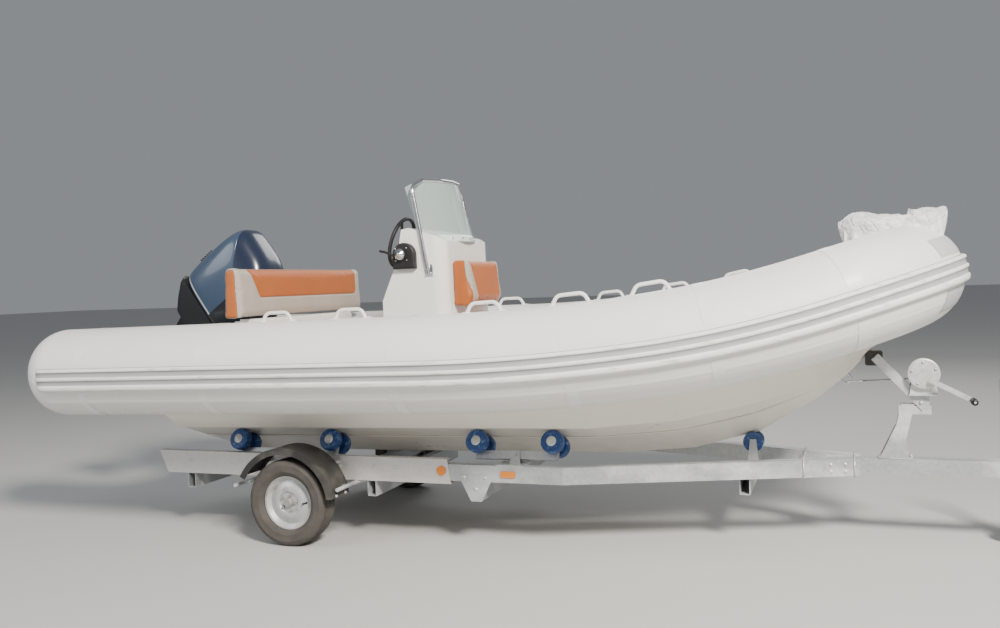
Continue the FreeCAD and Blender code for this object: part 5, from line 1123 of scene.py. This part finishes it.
# Winch, its strap and the stem rubber: plated drum and gear cover, polyester webbing with edge
# lines, and a ribbed black snubber. The crank has a turned grip.
dress(bright_zinc, "winch")
webbing = Finish("winch_webbing", Sheen_Weight=0.2)
twill = webbing.node("ShaderNodeTexWave", {"bands_direction": "Y"},
                     {"Vector": webbing.place, "Scale": 130.0, "Distortion": 0.6})
edge_line = webbing.step(abs(webbing.aside), 0.0165, 0.0185)
woven = webbing.blend(twill, (0.30, 0.30, 0.29), (0.46, 0.45, 0.43))
webbing.finish(Base_Color=webbing.blend(edge_line * 0.7, woven, (0.10, 0.10, 0.10)),
               Roughness=0.75 + 0.1 * twill, Normal=webbing.relief(twill, 0.0008, 0.6))
dress(webbing, "winch_strap")
soft_black = mottled("snubber_rubber", (30, 5), (0.015, 0.015, 0.015), (0.06, 0.058, 0.055),
                     rough=(0.6, 0.3), relief=(0.0012, 0.4))
dress(soft_black, "stem_rubber")
GRIP = [(0.0155, -0.121), (0.0175, -0.124), (0.0165, -0.138), (0.0185, -0.165), (0.0170, -0.192),
        (0.0180, -0.206), (0.0165, -0.2125), (0.0, -0.2130)]
shape("winch_grip_cover", *turned(GRIP, (2.656, 0, 0.854), (0, 1, 0), 24), black_plastic, place=IN_PLACE,
      slot="black_plastic")
cover_bolts = []
for n in range(5):
    swing = math.tau * n / 5 + 0.4
    spot = (2.410 + 0.066 * math.cos(swing), -0.0860, 1.000 + 0.066 * math.sin(swing))
    cover_bolts.append(bolt(spot, (0, -1, 0), 0.006))
for x, z in ((2.352, 0.895), (2.468, 0.895), (2.410, 1.032)):
    cover_bolts.append(bolt((x, 0.056, z), (0, 1, 0), 0.006))
for side in (-1, 1):
    cover_bolts += [bolt((2.162, side * 0.038, 1.085), (0, side, 0), 0.011),
                    bolt((2.395, side * 0.038, 0.827), (0, side, 0), 0.009)]
shape("winch_bolts", *gather(cover_bolts), galvanised, place=IN_PLACE, slot="galvanised")


# Coupling and jockey wheel: a cast head over the ball cup with its lever, and a telescopic leg in
# a clamp beside the drawbar, on a small rubber-tyred wheel.
dress(bright_zinc, "coupling_head", "jockey_tube", "jockey_leg")
dress(galvanised, "jockey_fork")
dress(rubber, "jockey_wheel")
JOCKEY = Vector((2.918, 0.118, 0.100))
CAP = ((0.058, 0.0245), (0.056, 0.0275), (0.030, 0.0285), (0.024, 0.0302), (0.0095, 0.0302))
caps = [turned([(radius, side * y) for radius, y in CAP], JOCKEY, (0, 1, 0), 32) for side in (-1, 1)]
shape("jockey_wheel_hub", *gather(caps), rim_paint, body="jockey_wheel", place=IN_PLACE, slot="rim_silver")
clamp_parts = [round_bar([(2.992, 0.118, 0.455), (3.020, 0.118, 0.455)], 0.007, 10),
               round_bar([(3.016, 0.118, 0.412), (3.016, 0.118, 0.498)], 0.005, 10)]
shape("jockey_clamp_screw", *gather(clamp_parts), bright_zinc, place=IN_PLACE, slot="galvanised")


# Reflectors: amber prismatic lenses in pressed backing plates, one round and one oblong a side.
amber = Finish("amber_lens", Roughness=0.12, Coat_Weight=0.6, Transmission_Weight=0.15)
prisms = amber.node("ShaderNodeTexVoronoi", {"feature": "F1"},
                    {"Vector": amber.place, "Scale": 260.0, "Randomness": 0.0})
amber.finish(Base_Color=amber.blend(prisms, (0.72, 0.150, 0.004), (1.0, 0.38, 0.02)),
             Normal=amber.relief(prisms, 0.002, 0.6))
dress(amber, "reflectors")
